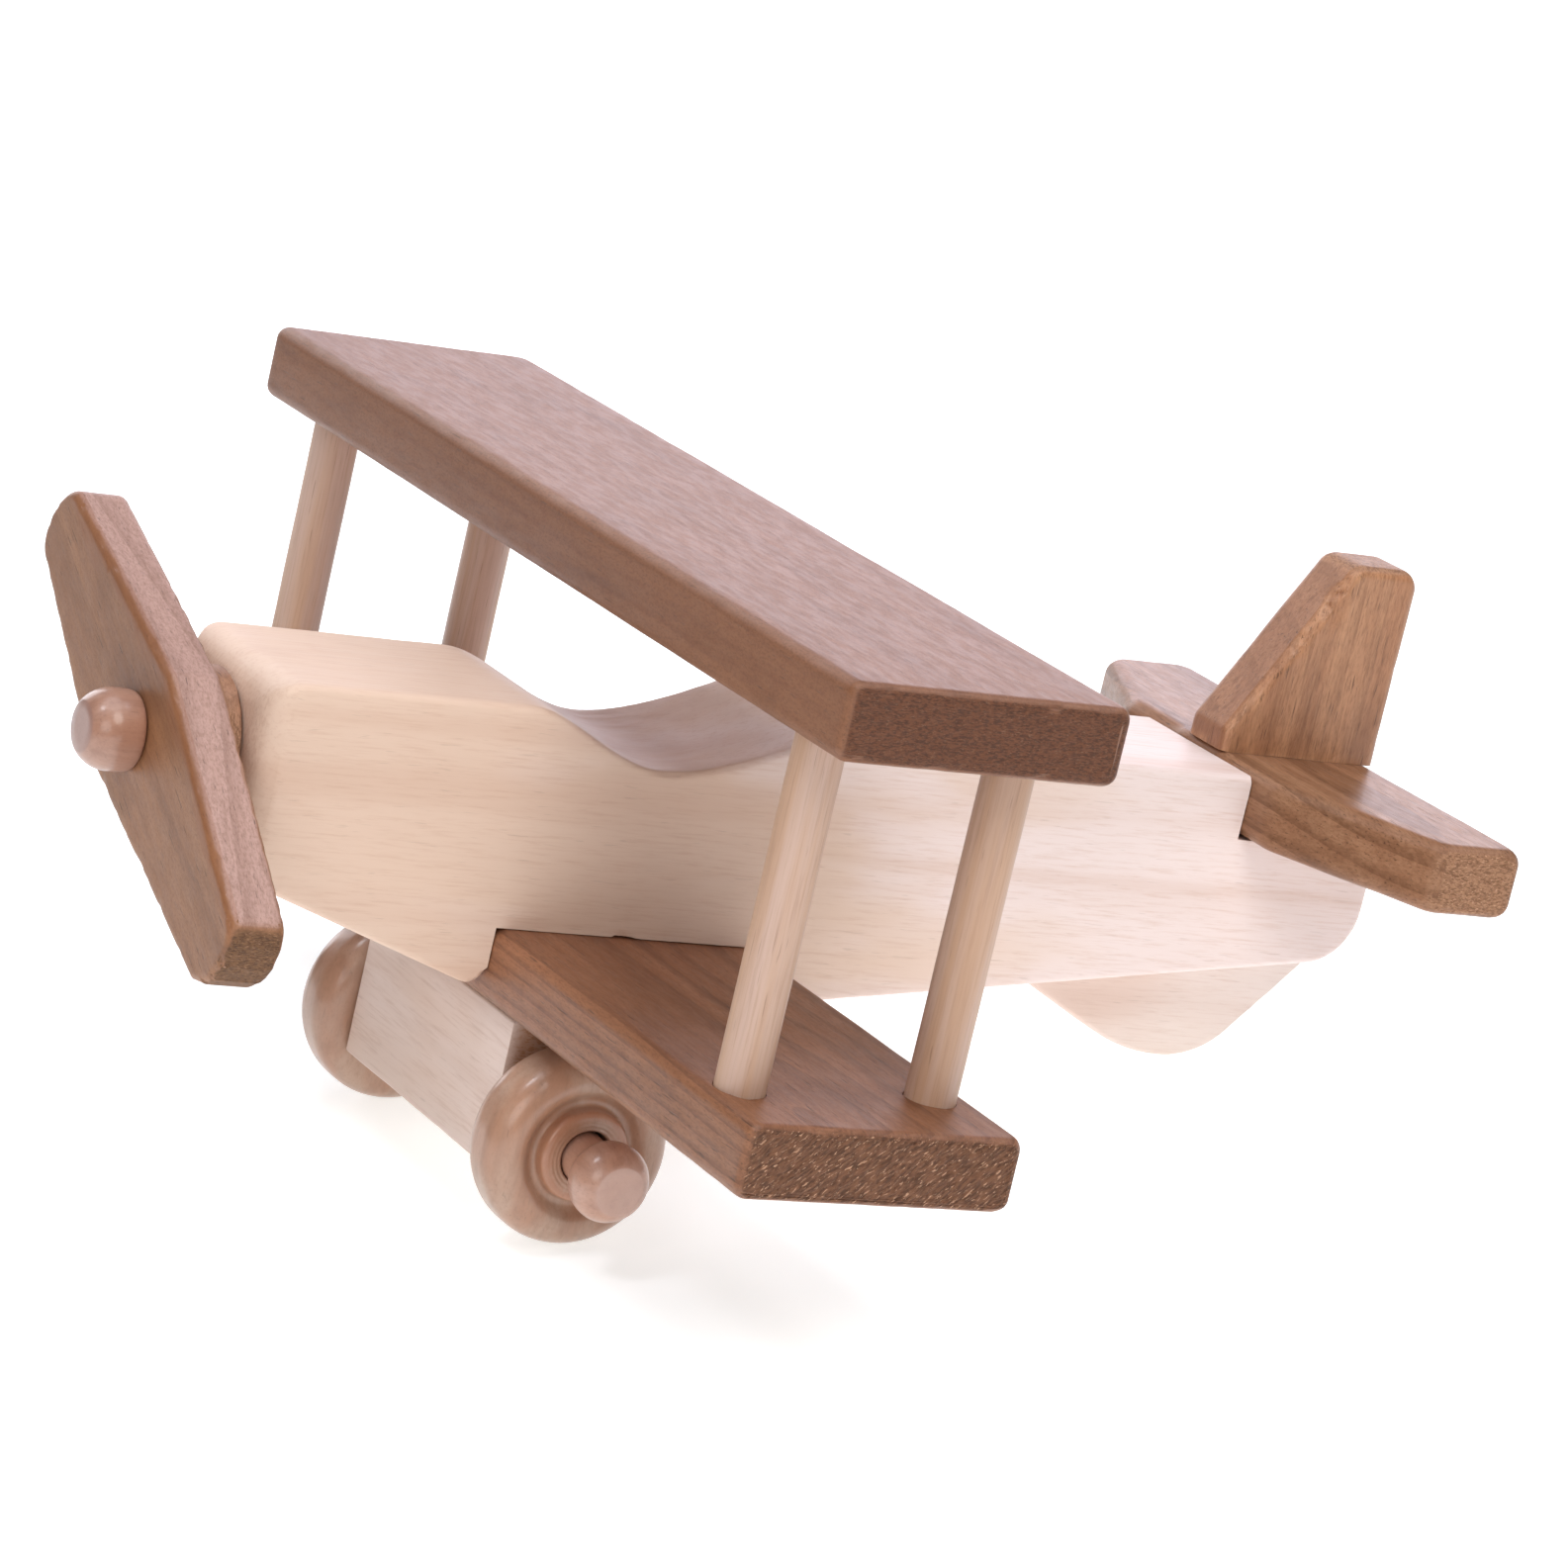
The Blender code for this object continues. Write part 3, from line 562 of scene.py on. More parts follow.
def walnut(name, pale, middle, dark, ring_spacing=3.4, ring_depth=0.5, streaks=0.0, end_shade=0.62,
           end_lean=0.0, end_size=(1.1, 4.2), end_depth=0.05, end_flecks=0.3, end_warmth=(1.0, 1.0, 1.0),
           edge_tint=None, edge_tint_from=0.85, edge_tint_depth=0.8, side_light_and_shade_tint=None, gloss=0.0, specular=0.5,
           felt=0.0, end_rough=0.3):
    """Brown wood: soft year rings, a fine speckle of fibres, short dark pores and dark end grain."""
    recipe = Recipe(name, IOR=1.5, Specular_IOR_Level=specular)
    blotch = recipe.noise((0.015, 0.04, 0.04), 3.0)
    fibre = recipe.noise((0.10 + 0.25 * felt, 1.5, 1.5), 5.0, 0.62)
    speckle = recipe.noise((0.5 + 0.9 * felt, 2.6, 2.6), 3.0, 0.7)
    streak = recipe.noise((0.010, 0.25, 0.25), 3.0, 0.6)
    pore = recipe.between(recipe.noise((0.17, 3.0, 3.0), 2.0, 0.5), 0.62 + 0.03 * felt, 0.72 + 0.03 * felt)
    ring = recipe.rings(ring_spacing, 14.0)
    late = recipe.times(recipe.between(ring, 0.45, 0.95), recipe.between(ring, 1.0, 0.975))
    late = recipe.times(late, recipe.between(fibre, 0.25, 0.6, 0.55, 1.0))
    colour = recipe.mix(recipe.between(streak, 0.3, 0.7, 0.1, 0.9), paint(*middle), paint(*pale))
    colour = recipe.tint(colour, middle, recipe.between(blotch, 0.35, 0.75, 0.0, 0.5))
    mottle = recipe.noise((0.04, 0.14, 0.14), 4.0, 0.6)
    colour = recipe.tint(colour, dark, recipe.between(mottle, 0.5, 0.72, 0.0, 0.35))
    # Painted light and shade by which way a face looks across the board: lighter, lavender edge faces on the
    # propeller, darker leading and trailing faces on the fin.
    if side_light_and_shade_tint:
        side = recipe.between(recipe.attribute("side"), 0.5, 0.9, 0.0, 0.85)
        colour = recipe.tint(colour, side_light_and_shade_tint, side)
    colour = recipe.tint(colour, dark, recipe.times(late, ring_depth))
    colour = recipe.tint(colour, dark, recipe.between(fibre, 0.35, 0.75, 0.0, 0.32 - 0.12 * felt))
    colour = recipe.tint(colour, dark, recipe.between(speckle, 0.42, 0.7, 0.0, 0.42))
    if streaks:
        line = recipe.between(recipe.noise((0.03, 0.6, 0.6), 3.0, 0.6), 0.56, 0.70, 0.0, streaks)
        colour = recipe.tint(colour, dark, line)
    end = recipe.between(recipe.attribute("end_grain"), 0.55, 0.9)
    flat = recipe.math("SUBTRACT", 1.0, end)
    colour = recipe.tint(colour, dimmed(dark, 0.55), recipe.times(pore, recipe.times(flat, 0.6)))
    # Colour along the rounded rims: real wear on the propeller's front edges, and on the fin a pale line that
    # is partly a painted highlight.
    if edge_tint:
        ragged = recipe.plus(recipe.attribute("worn"), recipe.times(fibre, 0.9))
        rubbed = recipe.between(ragged, edge_tint_from, edge_tint_from + 0.45, 0.0, edge_tint_depth)
        colour = recipe.tint(colour, edge_tint, rubbed)
    grit = recipe.end_noise((1.6, *end_size), end_lean)
    low, high = ([c * warmth for c, warmth in zip(dimmed(tone, share), end_warmth)]
                 for tone, share in ((middle, end_shade), (pale, end_shade + 0.16)))
    sawn = recipe.mix(recipe.between(grit, 0.36, 0.62), paint(*low), paint(*high))
    fine = [1.3 * size for size in end_size]
    speck = recipe.between(recipe.end_noise((2.0, *fine), end_lean), 0.58, 0.68, 0.0, end_flecks)
    colour = recipe.mix(end, colour, recipe.tint(sawn, END_FLECK_TINT, speck))
    roughness = recipe.between(recipe.noise((0.2, 0.8, 0.8), 3.0), 0.3, 0.7, 0.43 - gloss, 0.51 - gloss)
    roughness = recipe.plus(roughness, recipe.times(end, end_rough))
    height = recipe.plus(recipe.times(recipe.times(pore, flat), -0.03), recipe.times(speckle, 0.016))
    torn = recipe.times(recipe.times(grit, end), end_depth)
    return recipe.finish(colour, roughness, recipe.plus(height, torn))


def maple(name, pale, warm, streak_tone, front=-40.0, rear=190.0, figure=0.3, end_grain_and_shade_tone=None,
          end_grain_and_shade_share=(0.12, 0.45)):
    """Pale close-grained wood: short faint fibres, rare brown flecks, warmer towards the front."""
    recipe = Recipe(name, IOR=1.48, Specular_IOR_Level=0.16)
    parts = recipe.add("ShaderNodeSeparateXYZ", {0: recipe.wood}).outputs
    along = recipe.between(parts[0], front, rear)
    cloud = recipe.noise((0.018, 0.05, 0.05), 3.0)
    fibre = recipe.noise((0.11, 1.7, 1.7), 4.0, 0.65)
    band = recipe.noise((0.006, 0.12, 0.12), 2.0)
    fleck = recipe.between(recipe.noise((0.20, 2.6, 2.6), 1.0), 0.68, 0.78)
    place = recipe.plus(along, recipe.between(cloud, 0.3, 0.7, -0.25, 0.25))
    colour = recipe.mix(recipe.between(place, 0.2, 0.8), paint(*warm), paint(*pale))
    colour = recipe.tint(colour, streak_tone, recipe.between(band, 0.45, 0.75, 0.0, figure))
    colour = recipe.tint(colour, streak_tone, recipe.between(fibre, 0.45, 0.78, 0.0, 0.4))
    colour = recipe.tint(colour, dimmed(streak_tone, 0.78), recipe.times(fleck, 0.2))
    # Dashes of darker end grain; on the block the strong dark brown of its ends is partly painted shade
    # between the block and the wheels.
    end = recipe.between(recipe.attribute("end_grain"), 0.6, 0.97)
    dash = recipe.between(recipe.noise((0.6, 0.8, 2.6), 3.0, 0.65), 0.46, 0.62)
    dashed_end = recipe.times(end, recipe.between(dash, 0.0, 1.0, *end_grain_and_shade_share))
    colour = recipe.tint(colour, end_grain_and_shade_tone or dimmed(streak_tone, 0.97), dashed_end)
    roughness = recipe.between(recipe.noise((0.05, 0.6, 0.6), 3.0), 0.3, 0.7, 0.40, 0.52)
    height = recipe.plus(recipe.times(fibre, 0.012), recipe.times(fleck, -0.015))
    return recipe.finish(colour, roughness, height)


def dowel_birch(name, pale, warm, dark):
    """Drawn dowel: lengthwise streaks of pale and tan wood."""
    recipe = Recipe(name, IOR=1.5)
    streak = recipe.noise((0.010, 0.30, 0.30), 2.0, 0.5)
    fibre = recipe.noise((0.07, 2.2, 2.2), 4.0, 0.65)
    fleck = recipe.between(recipe.noise((0.14, 3.0, 3.0), 1.0), 0.68, 0.78)
    colour = recipe.mix(recipe.between(streak, 0.3, 0.7, 0.1, 0.8), paint(*pale), paint(*warm))
    colour = recipe.tint(colour, dark, recipe.between(fibre, 0.42, 0.78, 0.0, 0.42))
    colour = recipe.tint(colour, dimmed(dark, 0.78), recipe.times(fleck, 0.4))
    roughness = recipe.between(streak, 0.3, 0.7, 0.38, 0.5)
    height = recipe.plus(recipe.times(fibre, 0.02), recipe.times(fleck, -0.02))
    return recipe.finish(colour, roughness, height)


def turned_wood(name, pale, warm, dark, end_grain_and_sheen_tint, edge_tint=(176, 116, 84)):
    """Turned and lacquered wood: soft figure under a smooth clear coat."""
    recipe = Recipe(name, IOR=1.5, Coat_Weight=0.4, Coat_Roughness=0.14)
    cloud = recipe.noise((0.05, 0.14, 0.14), 3.0)
    streak = recipe.noise((0.02, 0.5, 0.5), 4.0, 0.6)
    fleck = recipe.between(recipe.noise((0.2, 2.4, 2.4), 1.0), 0.66, 0.78)
    colour = recipe.mix(recipe.between(cloud, 0.35, 0.65), paint(*warm), paint(*pale))
    colour = recipe.tint(colour, dark, recipe.between(streak, 0.4, 0.75, 0.0, 0.45))
    colour = recipe.tint(colour, dimmed(dark, 0.7), recipe.times(fleck, 0.3))
    speckle = recipe.noise((1.2, 2.2, 2.2), 4.0, 0.7)
    colour = recipe.tint(colour, dark, recipe.between(speckle, 0.45, 0.7, 0.0, 0.25))
    ragged = recipe.plus(recipe.attribute("worn"), recipe.times(speckle, 0.8))
    colour = recipe.tint(colour, edge_tint, recipe.between(ragged, 0.7, 1.4, 0.0, 0.6))
    # The end grain's tone: darker on the propeller's peg; on the axle pegs a paler lavender facet, which is a
    # painted sheen.
    end = recipe.between(recipe.attribute("end_grain"), 0.75, 1.0, 0.0, 0.6)
    colour = recipe.tint(colour, end_grain_and_sheen_tint, end)
    roughness = recipe.between(cloud, 0.3, 0.7, 0.32, 0.42)
    return recipe.finish(colour, roughness, recipe.times(speckle, 0.012))


# ---------------- the fuselage

def belly_z(y):
    (y0, z0), (y1, z1) = BELLY_FRONT, BELLY_REAR
    return z0 + (z1 - z0) * (y - y0) / (y1 - y0)


def fuselage_outline():
    """The side view, drawn aft and up, from the top of the nose running aft."""
    seat_front = LOWER_WING["front"] - AIR
    seat_rear = LOWER_WING["front"] + LOWER_WING["chord"] + AIR
    seat_z = LOWER_WING["base"] + LOWER_WING["depth"] + AIR
    tail_wall, tail_seat = TAILPLANE["front"] - AIR, TAILPLANE_SEAT[1] + CAD_GAP - AIR
    points = [(COCKPIT["front"], DECK_Z)]
    points += ease(points[-1], COCKPIT["front_lip"], COCKPIT["front_foot"], COCKPIT["floor"])
    points += ease(points[-1], COCKPIT["rear_foot"], COCKPIT["rear_rise"], (COCKPIT["rear"], DECK_Z))
    points += [(tail_wall, DECK_Z), (tail_wall, tail_seat), (TAIL_Y, tail_seat)]
    points += round_corner(points[-1], (TAIL_Y, belly_z(TAIL_Y)), BELLY_FRONT, TAIL_HEEL_RADIUS)
    points += [(seat_rear, BELLY_FRONT[1]), (seat_rear, seat_z), (seat_front, seat_z)]
    nose_foot = (NOSE_Y, NOSE_CHIN_Z)
    points += round_corner(points[-1], (seat_front, CHIN_Z), nose_foot, CHIN_RADIUS)
    points += round_corner(points[-1], nose_foot, (NOSE_Y, DECK_Z), CHIN_RADIUS)
    points += round_corner(nose_foot, (NOSE_Y, DECK_Z), (COCKPIT["front"], DECK_Z), NOSE_TOP_RADIUS)
    return points


def narrow_nose(shape):
    """Rounds the nose's two upright corners, by narrowing each section to the plan's quarter circle."""
    half = BODY_WIDTH / 2
    for v in shape.verts:
        run = v.co.x - NOSE_Y
        if run < NOSE_PLAN_RADIUS:
            rest = NOSE_PLAN_RADIUS - max(0.0, run)
            width = half - NOSE_PLAN_RADIUS + sqrt(NOSE_PLAN_RADIUS ** 2 - rest ** 2)
            v.co.z *= width / half


def fuselage_rims(middle):
    """The slot for the lower wing and the tailplane's seat keep sharp edges."""
    in_slot = LOWER_WING["front"] - 1 < middle.x < BELLY_FRONT[0] + 1 and CHIN_Z + 4 < middle.y < 1
    in_seat = middle.x > TAILPLANE_SEAT[0] - 1 and middle.y > TAILPLANE_SEAT[1] - 1 and middle.y < DECK_Z - 1
    return not (in_slot or in_seat)


def make_fuselage(material):
    shape = prism(fuselage_outline(), BODY_WIDTH, BODY_EDGE, fuselage_rims)
    hole_end = NOSE_Y + PEG_SOCKET + CAD_GAP
    shape = drilled(shape, [((NOSE_Y - 5, PROP_AXIS_Z, 0), (hole_end, PROP_AXIS_Z, 0), PEG_RADIUS + AIR)])
    slice_at(shape, 0, [NOSE_Y + NOSE_PLAN_RADIUS * (1 - cos(pi / 2 * i / 9)) for i in range(1, 10)])
    slice_all(shape, 4.0, 4.0)
    narrow_nose(shape)
    refine(shape, (26.0, -1.0, 16.0), (40.0, 4.0, 20.0), 0.8)
    weather(shape, uneven=0.10, size=28.0, wear=0.3, seed=1.7)
    # A double chip in the port edge of the slot, above the lower wing
    dent(shape, (33.0, 0.0, 19.0), (1.5, 0.9, 1.2), 0.6, (0, 1.0, -0.4))
    dent(shape, (35.0, 0.0, 19.0), (1.6, 0.6, 1.0), 0.3, (0, 1.0, -0.4))
    install("fuselage", shape, SIDE_VIEW, material, heart=(0.0, 30.0, 85.0))


# ---------------- wings and struts

def wing_outline(wing):
    """Plan of a wing, centred, drawn to port and aft."""
    x, y = wing["span"] / 2, wing["chord"] / 2
    corners = [(-x, -y), (x, -y), (x, y), (-x, y)]
    radii = (WING_FRONT_CORNER, WING_FRONT_CORNER, WING_REAR_CORNER, WING_REAR_CORNER)
    points = []
    for i, radius in enumerate(radii):
        points += round_corner(corners[i - 1], corners[i], corners[(i + 1) % 4], radius, steps=7)
    return points


def make_wing(node, wing, material, up, end_depth, lean, heart, seed):
    """A plank with a blind hole for each strut, in its top where up is 1, in its underside where it is -1."""
    centre = Vector((0.0, wing["front"] + wing["chord"] / 2, wing["base"] + wing["depth"] / 2))
    mouth = up * wing["depth"] / 2
    depths = (mouth - up * STRUT_SOCKET, mouth + up * OVERRUN)
    holes = [(*[(x, y - centre.y, z) for z in depths], STRUT_RADIUS + AIR) for x, y in STRUTS.values()]
    shape = drilled(prism(wing_outline(wing), wing["depth"], WING_EDGE), holes)
    slice_all(shape, 4.5)
    along, across = (spread(-wing[key] / 2, wing[key] / 2, WING_TIP_GRID) for key in ("chord", "depth"))
    refine_tips(shape, wing["span"] / 2, WING_TIP_BAND, along, across)
    weather(shape, uneven=0.14, size=26.0, wear=0.25, seed=seed)
    tear_ends(shape, 0, end_depth, 0.8, lean)
    install(node, shape, Matrix.Translation(centre), material, heart=heart)


def make_struts(material):
    foot = LOWER_WING["base"] + LOWER_WING["depth"] - STRUT_SOCKET + CAD_GAP
    length = UPPER_WING["base"] + STRUT_SOCKET - CAD_GAP - foot
    end_radius = STRUT_RADIUS - ARRIS
    profile = [(0.0, length), (end_radius, length)]
    profile += [(STRUT_RADIUS, length - ARRIS - (length - 2 * ARRIS) * k / 24) for k in range(25)]
    profile += [(end_radius, 0.0), (0.0, 0.0)]
    for i, (node, (x, y)) in enumerate(STRUTS.items()):
        shape = lathe(profile, 64)
        weather(shape, uneven=0.06, size=9.0, wear=0.0, seed=3.1 * i + 0.7)
        heart = (210.0 * i, 9.0 + 4.0 * i, -16.0 + 7.0 * i)
        install(node, shape, Matrix.Translation((x, y, foot)), material, "Z", heart, rims=False)


# ---------------- undercarriage

def peg_profile(shank, pressed=0.0):
    """A turned axle peg: a domed head with a flat, which narrows to a neck and a straight shank.

    A pressed peg's head is drawn that much further back, to bear on the piece behind it.
    """
    edge = (HEAD_FACET, HEAD_LENGTH)
    widest = (HEAD_RADIUS, 0.45 * HEAD_LENGTH)
    base = (HEAD_NECK + (1.0 if pressed else 0.0), 0.0)
    head = [(0.0, HEAD_LENGTH), (0.6 * HEAD_FACET, HEAD_LENGTH), edge]
    head += ease(edge, (HEAD_RADIUS - 1.7, HEAD_LENGTH - 0.5), (HEAD_RADIUS, 0.72 * HEAD_LENGTH), widest, 16)
    head += ease(widest, (HEAD_RADIUS, 0.2 * HEAD_LENGTH), (base[0] + 1.0, 0.1), base, steps=10)
    if pressed:
        stretch = (HEAD_LENGTH + 0.88 * pressed) / HEAD_LENGTH
        profile = [(radius, height * stretch - pressed) for radius, height in head]
        waist, waist_end = PEG_RADIUS, pressed + 0.4
    else:
        profile = head + ease(base, (HEAD_NECK - 0.5, -0.4), (PEG_WAIST, -0.9), (PEG_WAIST, -2.2), steps=8)
        waist, waist_end = PEG_WAIST, WHEEL_FLOAT + 4.0
    profile += [(waist, -waist_end + 0.3), (PEG_RADIUS, -waist_end)]
    profile += [(PEG_RADIUS, -waist_end - (shank - waist_end - 0.6) * k / 6) for k in range(1, 7)]
    profile += [(PEG_RADIUS - 0.6, -shank), (0.0, -shank)]
    return profile


def wheel_profile():
    """Half the wheel's section: hub, dish, a round tread and a flat inner face, back to the bore."""
    shoulder = WHEEL_RADIUS - RIM_SHOULDER
    dish = RIM_WIDTH - DISH_DEPTH
    lip = (HUB_RADIUS - 0.7, HUB_WIDTH - 0.35)
    bore = PEG_BORE - 0.15
    profile = [(PEG_BORE, 0.6 * HUB_WIDTH), (bore, HUB_WIDTH - 1.2), (bore, HUB_WIDTH - 0.5)]
    profile += [(bore + 0.1, HUB_WIDTH - 0.2), (bore + 0.3, HUB_WIDTH - 0.05)]
    steps = 20
    for k in range(steps + 1):
        share = k / steps
        ripple = HUB_RIPPLE * (cos(2 * pi * HUB_RIPPLES * share) - 1.0) * (1.0 - share)
        profile.append((bore + 0.4 + (lip[0] - bore - 0.4) * share, HUB_WIDTH - 0.35 * share ** 3 + ripple))
    foot, valley = (HUB_RADIUS + 0.1, dish + 0.5), (DISH_RADIUS, dish)
    profile += ease(lip, (HUB_RADIUS - 0.2, HUB_WIDTH - 0.6), (HUB_RADIUS, HUB_WIDTH - 1.0), foot, steps=6)
    profile += ease(foot, (HUB_RADIUS + 0.2, dish + 0.1), (DISH_RADIUS - 0.5, dish), valley, steps=5)
    profile += ease(valley, (DISH_RADIUS + 0.9, dish), (shoulder - 1.2, RIM_WIDTH), (shoulder, RIM_WIDTH), 12)
    profile += arc((shoulder, RIM_WIDTH - RIM_SHOULDER), RIM_SHOULDER, pi / 2, 0.0)[1:]
    profile += arc((shoulder, RIM_SHOULDER), RIM_SHOULDER, 0.0, -pi / 2)
    profile += [(PEG_BORE + 0.5, 0.0), (PEG_BORE, 0.5)]
    return profile


def hub_wear(wheel):
    """The finish is rubbed through on the hub's outer edge."""
    worn = []
    for v in wheel.verts:
        radius = sqrt(v.co.x ** 2 + v.co.y ** 2)
        worn.append(max(0.0, 1.0 - abs(radius - HUB_RADIUS + 0.7) / 2.6) if v.co.z > RIM_WIDTH - 1.6 else 0.0)
    return worn


def bow(peg, axis):
    """Bends a peg up a little where it passes through its wheel."""
    middle, half = -WHEEL_FLOAT - 2.0, WHEEL_FLOAT + 2.0
    for v in peg.verts:
        share = max(0.0, 1.0 - ((v.co.z - middle) / half) ** 2)
        v.co += axis * (PEG_LIFT * share)


def peg_mouth(side, turn):
    """Places a wheel peg, drooping a little, at the middle of its hole in the block's end."""
    droop = Matrix.Rotation(side * AXLE_DROOP, 4, "Y")
    return Matrix.Translation((side * BLOCK["length"] / 2, AXLE_Y, AXLE_Z - AXLE_SLACK)) @ droop @ turn


def make_undercarriage(block_wood, wheel_wood, peg_wood):
    height = LOWER_WING["base"] - AIR - BLOCK["base"]
    half, depth = BLOCK["length"] / 2, BLOCK["depth"] / 2
    outline = [(-half, -depth), (half, -depth), (half, depth), (-half, depth)]
    centre = Vector((0.0, BLOCK["front"] + depth, BLOCK["base"] + height / 2))
    sides = ((1, "port", TO_PORT), (-1, "starboard", TO_STARBOARD))
    holes = []
    for side, name, turn in sides:
        ends = [peg_mouth(side, turn) @ Vector((0, 0, z)) - centre for z in (-PEG_SOCKET, OVERRUN + 1.0)]
        holes.append((*ends, PEG_RADIUS + AIR))
    shape = drilled(prism(outline, height, BLOCK_EDGE), holes)
    slice_all(shape, 3.5, 3.5)
    weather(shape, uneven=0.14, size=17.0, wear=0.3, seed=9.2)
    install("axle_block", shape, Matrix.Translation(centre), block_wood, heart=(400.0, 18.0, -60.0))
    reach = WHEEL_INNER_X + HUB_WIDTH + WHEEL_FLOAT - half
    for side, name, turn in sides:
        wheel = lathe(wheel_profile(), 112)
        weather(wheel, uneven=0.05, size=7.0, wear=0.0, seed=4.4 * side)
        place = Matrix.Translation((side * WHEEL_INNER_X, AXLE_Y, AXLE_Z)) @ turn
        install("wheel_" + name, wheel, place, wheel_wood, "X", (90.0 * side, 33.0, 12.0),
                worn=hub_wear(wheel))
        peg = lathe(peg_profile(reach + PEG_SOCKET - CAD_GAP), 72)
        weather(peg, uneven=0.05, size=5.0, wear=0.0, seed=7.7 * side)
        bow(peg, Vector((-side, 0.0, 0.0)))
        place = peg_mouth(side, turn) @ Matrix.Translation((0, 0, reach))
        heart = (55.0 * side, 14.0, 6.0)
        install("wheel_peg_" + name, peg, place, peg_wood, "Z", heart, rims=False)


# ---------------- the propeller

def bulged_tip(first, last, bulge):
    """An arc from one corner of a blade's tip to the other."""
    first, last = Vector(first), Vector(last)
    chord = last - first
    radius = (chord.length_squared / 4 + bulge ** 2) / (2 * bulge)
    outward = Vector((chord.y, -chord.x)).normalized()
    centre = (first + last) / 2 - outward * (radius - bulge)
    middle = atan2(outward.y, outward.x)
    half = asin(chord.length / 2 / radius)
    return arc(centre, radius, middle - half, middle + half, steps=5)


def blade_wear(blade):
    """The blade is rubbed along its upper edges, on the front face."""
    corners = [Vector(PROP_UPPER_TIP[0]), Vector(PROP_WAIST[1]), Vector(PROP_LOWER_TIP[1])]
    worn = []
    for v in blade.verts:
        place = Vector((v.co.x, v.co.y))
        away = min(distance_to_edge(place, *ends) for ends in zip(corners, corners[1:]))
        ragged = PROP_WORN_BAND * (0.8 + 0.9 * noise.noise(Vector((place.x / 5, place.y / 14, 3.0))))
        worn.append(max(0.0, 1.0 - away / ragged) if v.co.z > PROP_THICKNESS / 2 - PROP_EDGE else 0.0)
    return worn


def distance_to_edge(place, start, end):
    along = end - start
    share = min(1.0, max(0.0, (place - start).dot(along) / along.length_squared))
    return (place - start - along * share).length


def make_propeller(blade_wood, spacer_wood, peg_wood):
    spacer_rear = NOSE_Y - CAD_GAP
    spacer_front = spacer_rear - SPACER_THICKNESS
    prop_rear = spacer_front - CAD_GAP
    prop_front = prop_rear - PROP_THICKNESS
    port_waist, starboard_waist = PROP_WAIST
    outline = bulged_tip(*PROP_UPPER_TIP, PROP_UPPER_BULGE) + [port_waist]
    outline += bulged_tip(*PROP_LOWER_TIP, PROP_LOWER_BULGE) + [starboard_waist]
    outline = soften(outline, PROP_CORNER)
    shape = drilled(prism(outline, PROP_THICKNESS, PROP_EDGE), [((0, 0, -9), (0, 0, 9), PEG_BORE)])
    slice_all(shape, 1.3, 1.6)
    for low, high in ((-60.0, -44.0), (46.0, 60.0)):
        refine(shape, (-20.0, low, -6.0), (20.0, high, 6.0), 0.6)
    weather(shape, uneven=0.12, size=15.0, wear=0.5, wear_size=3.0, seed=5.9)
    tear_ends(shape, 1, 0.35, 0.9, 0.6, stretch=1.5)
    lean = Matrix.Rotation(-PROP_LEAN, 4, "Y")
    place = Matrix.Translation((0, (prop_rear + prop_front) / 2, PROP_AXIS_Z)) @ lean @ FRONT_VIEW
    install("propeller", shape, place, blade_wood, "Y", (0.0, 26.0, 11.0), worn=blade_wear(shape))
    ring = [(PEG_BORE, SPACER_THICKNESS)]
    ring += arc((SPACER_RADIUS - ARRIS, SPACER_THICKNESS - ARRIS), ARRIS, pi / 2, 0.0, steps=4)
    ring += [(SPACER_RADIUS, 0.3 + (SPACER_THICKNESS - 0.8) * (1 - k / 5)) for k in range(1, 6)]
    ring += [(SPACER_RADIUS - 0.3, 0.0), (PEG_BORE, 0.0)]
    spacer = lathe(ring, 96)
    weather(spacer, uneven=0.12, size=2.5, wear=0.0, seed=6.6)
    place = Matrix.Translation((0, spacer_rear, PROP_AXIS_Z)) @ TO_NOSE
    install("propeller_spacer", spacer, place, spacer_wood, "X", (30.0, 21.0, 8.0), rims=False)
    head_y = prop_front - PROP_FLOAT
    peg = lathe(peg_profile(NOSE_Y + PEG_SOCKET - head_y, pressed=PROP_FLOAT - 0.12), 72)
    weather(peg, uneven=0.05, size=5.0, wear=0.0, seed=8.1)
    place = Matrix.Translation((0, head_y, PROP_AXIS_Z)) @ TO_NOSE
    install("propeller_peg", peg, place, peg_wood, "Z", (-75.0, 10.0, 9.0), rims=False)


# ---------------- the tail

def make_tailplane(material):
    front, rear, root, half = (TAILPLANE[key] for key in ("front", "rear", "root", "half_span"))
    tip_front = rear - TAILPLANE["tip"]
    under_fin = FIN["thickness"] / 2 + 1.5
    port = [(under_fin, front), (under_fin + 2.0, front)]
    port += round_corner((0.0, front), (root, front), (half, tip_front), 9.0, steps=8)
    port += round_corner((root, front), (half, tip_front), (half, rear), 5.0)
    port += round_corner((half, tip_front), (half, rear), (0.0, rear), 4.4)
    outline = port + [(-x, y) for x, y in reversed(port)]
    shape = prism(outline, TAILPLANE["depth"], TAILPLANE_EDGE,
                  lambda middle: abs(middle.x) > under_fin or middle.y > rear - 1.0)
    slice_all(shape, 3.2)
    refine_tips(shape, half, 6.0, spread(tip_front, rear, 0.5), spread(-6.5, 6.5, 0.5))
    weather(shape, uneven=0.16, size=18.0, wear=0.35, seed=2.3)
    tear_ends(shape, 0, 0.3, 0.7, 0.9, stretch=1.4)
    place = Matrix.Translation((0, 0, TAILPLANE_SEAT[1] + CAD_GAP + TAILPLANE["depth"] / 2))
    install("tailplane", shape, place, material, heart=(0.0, -176.0, -34.0))


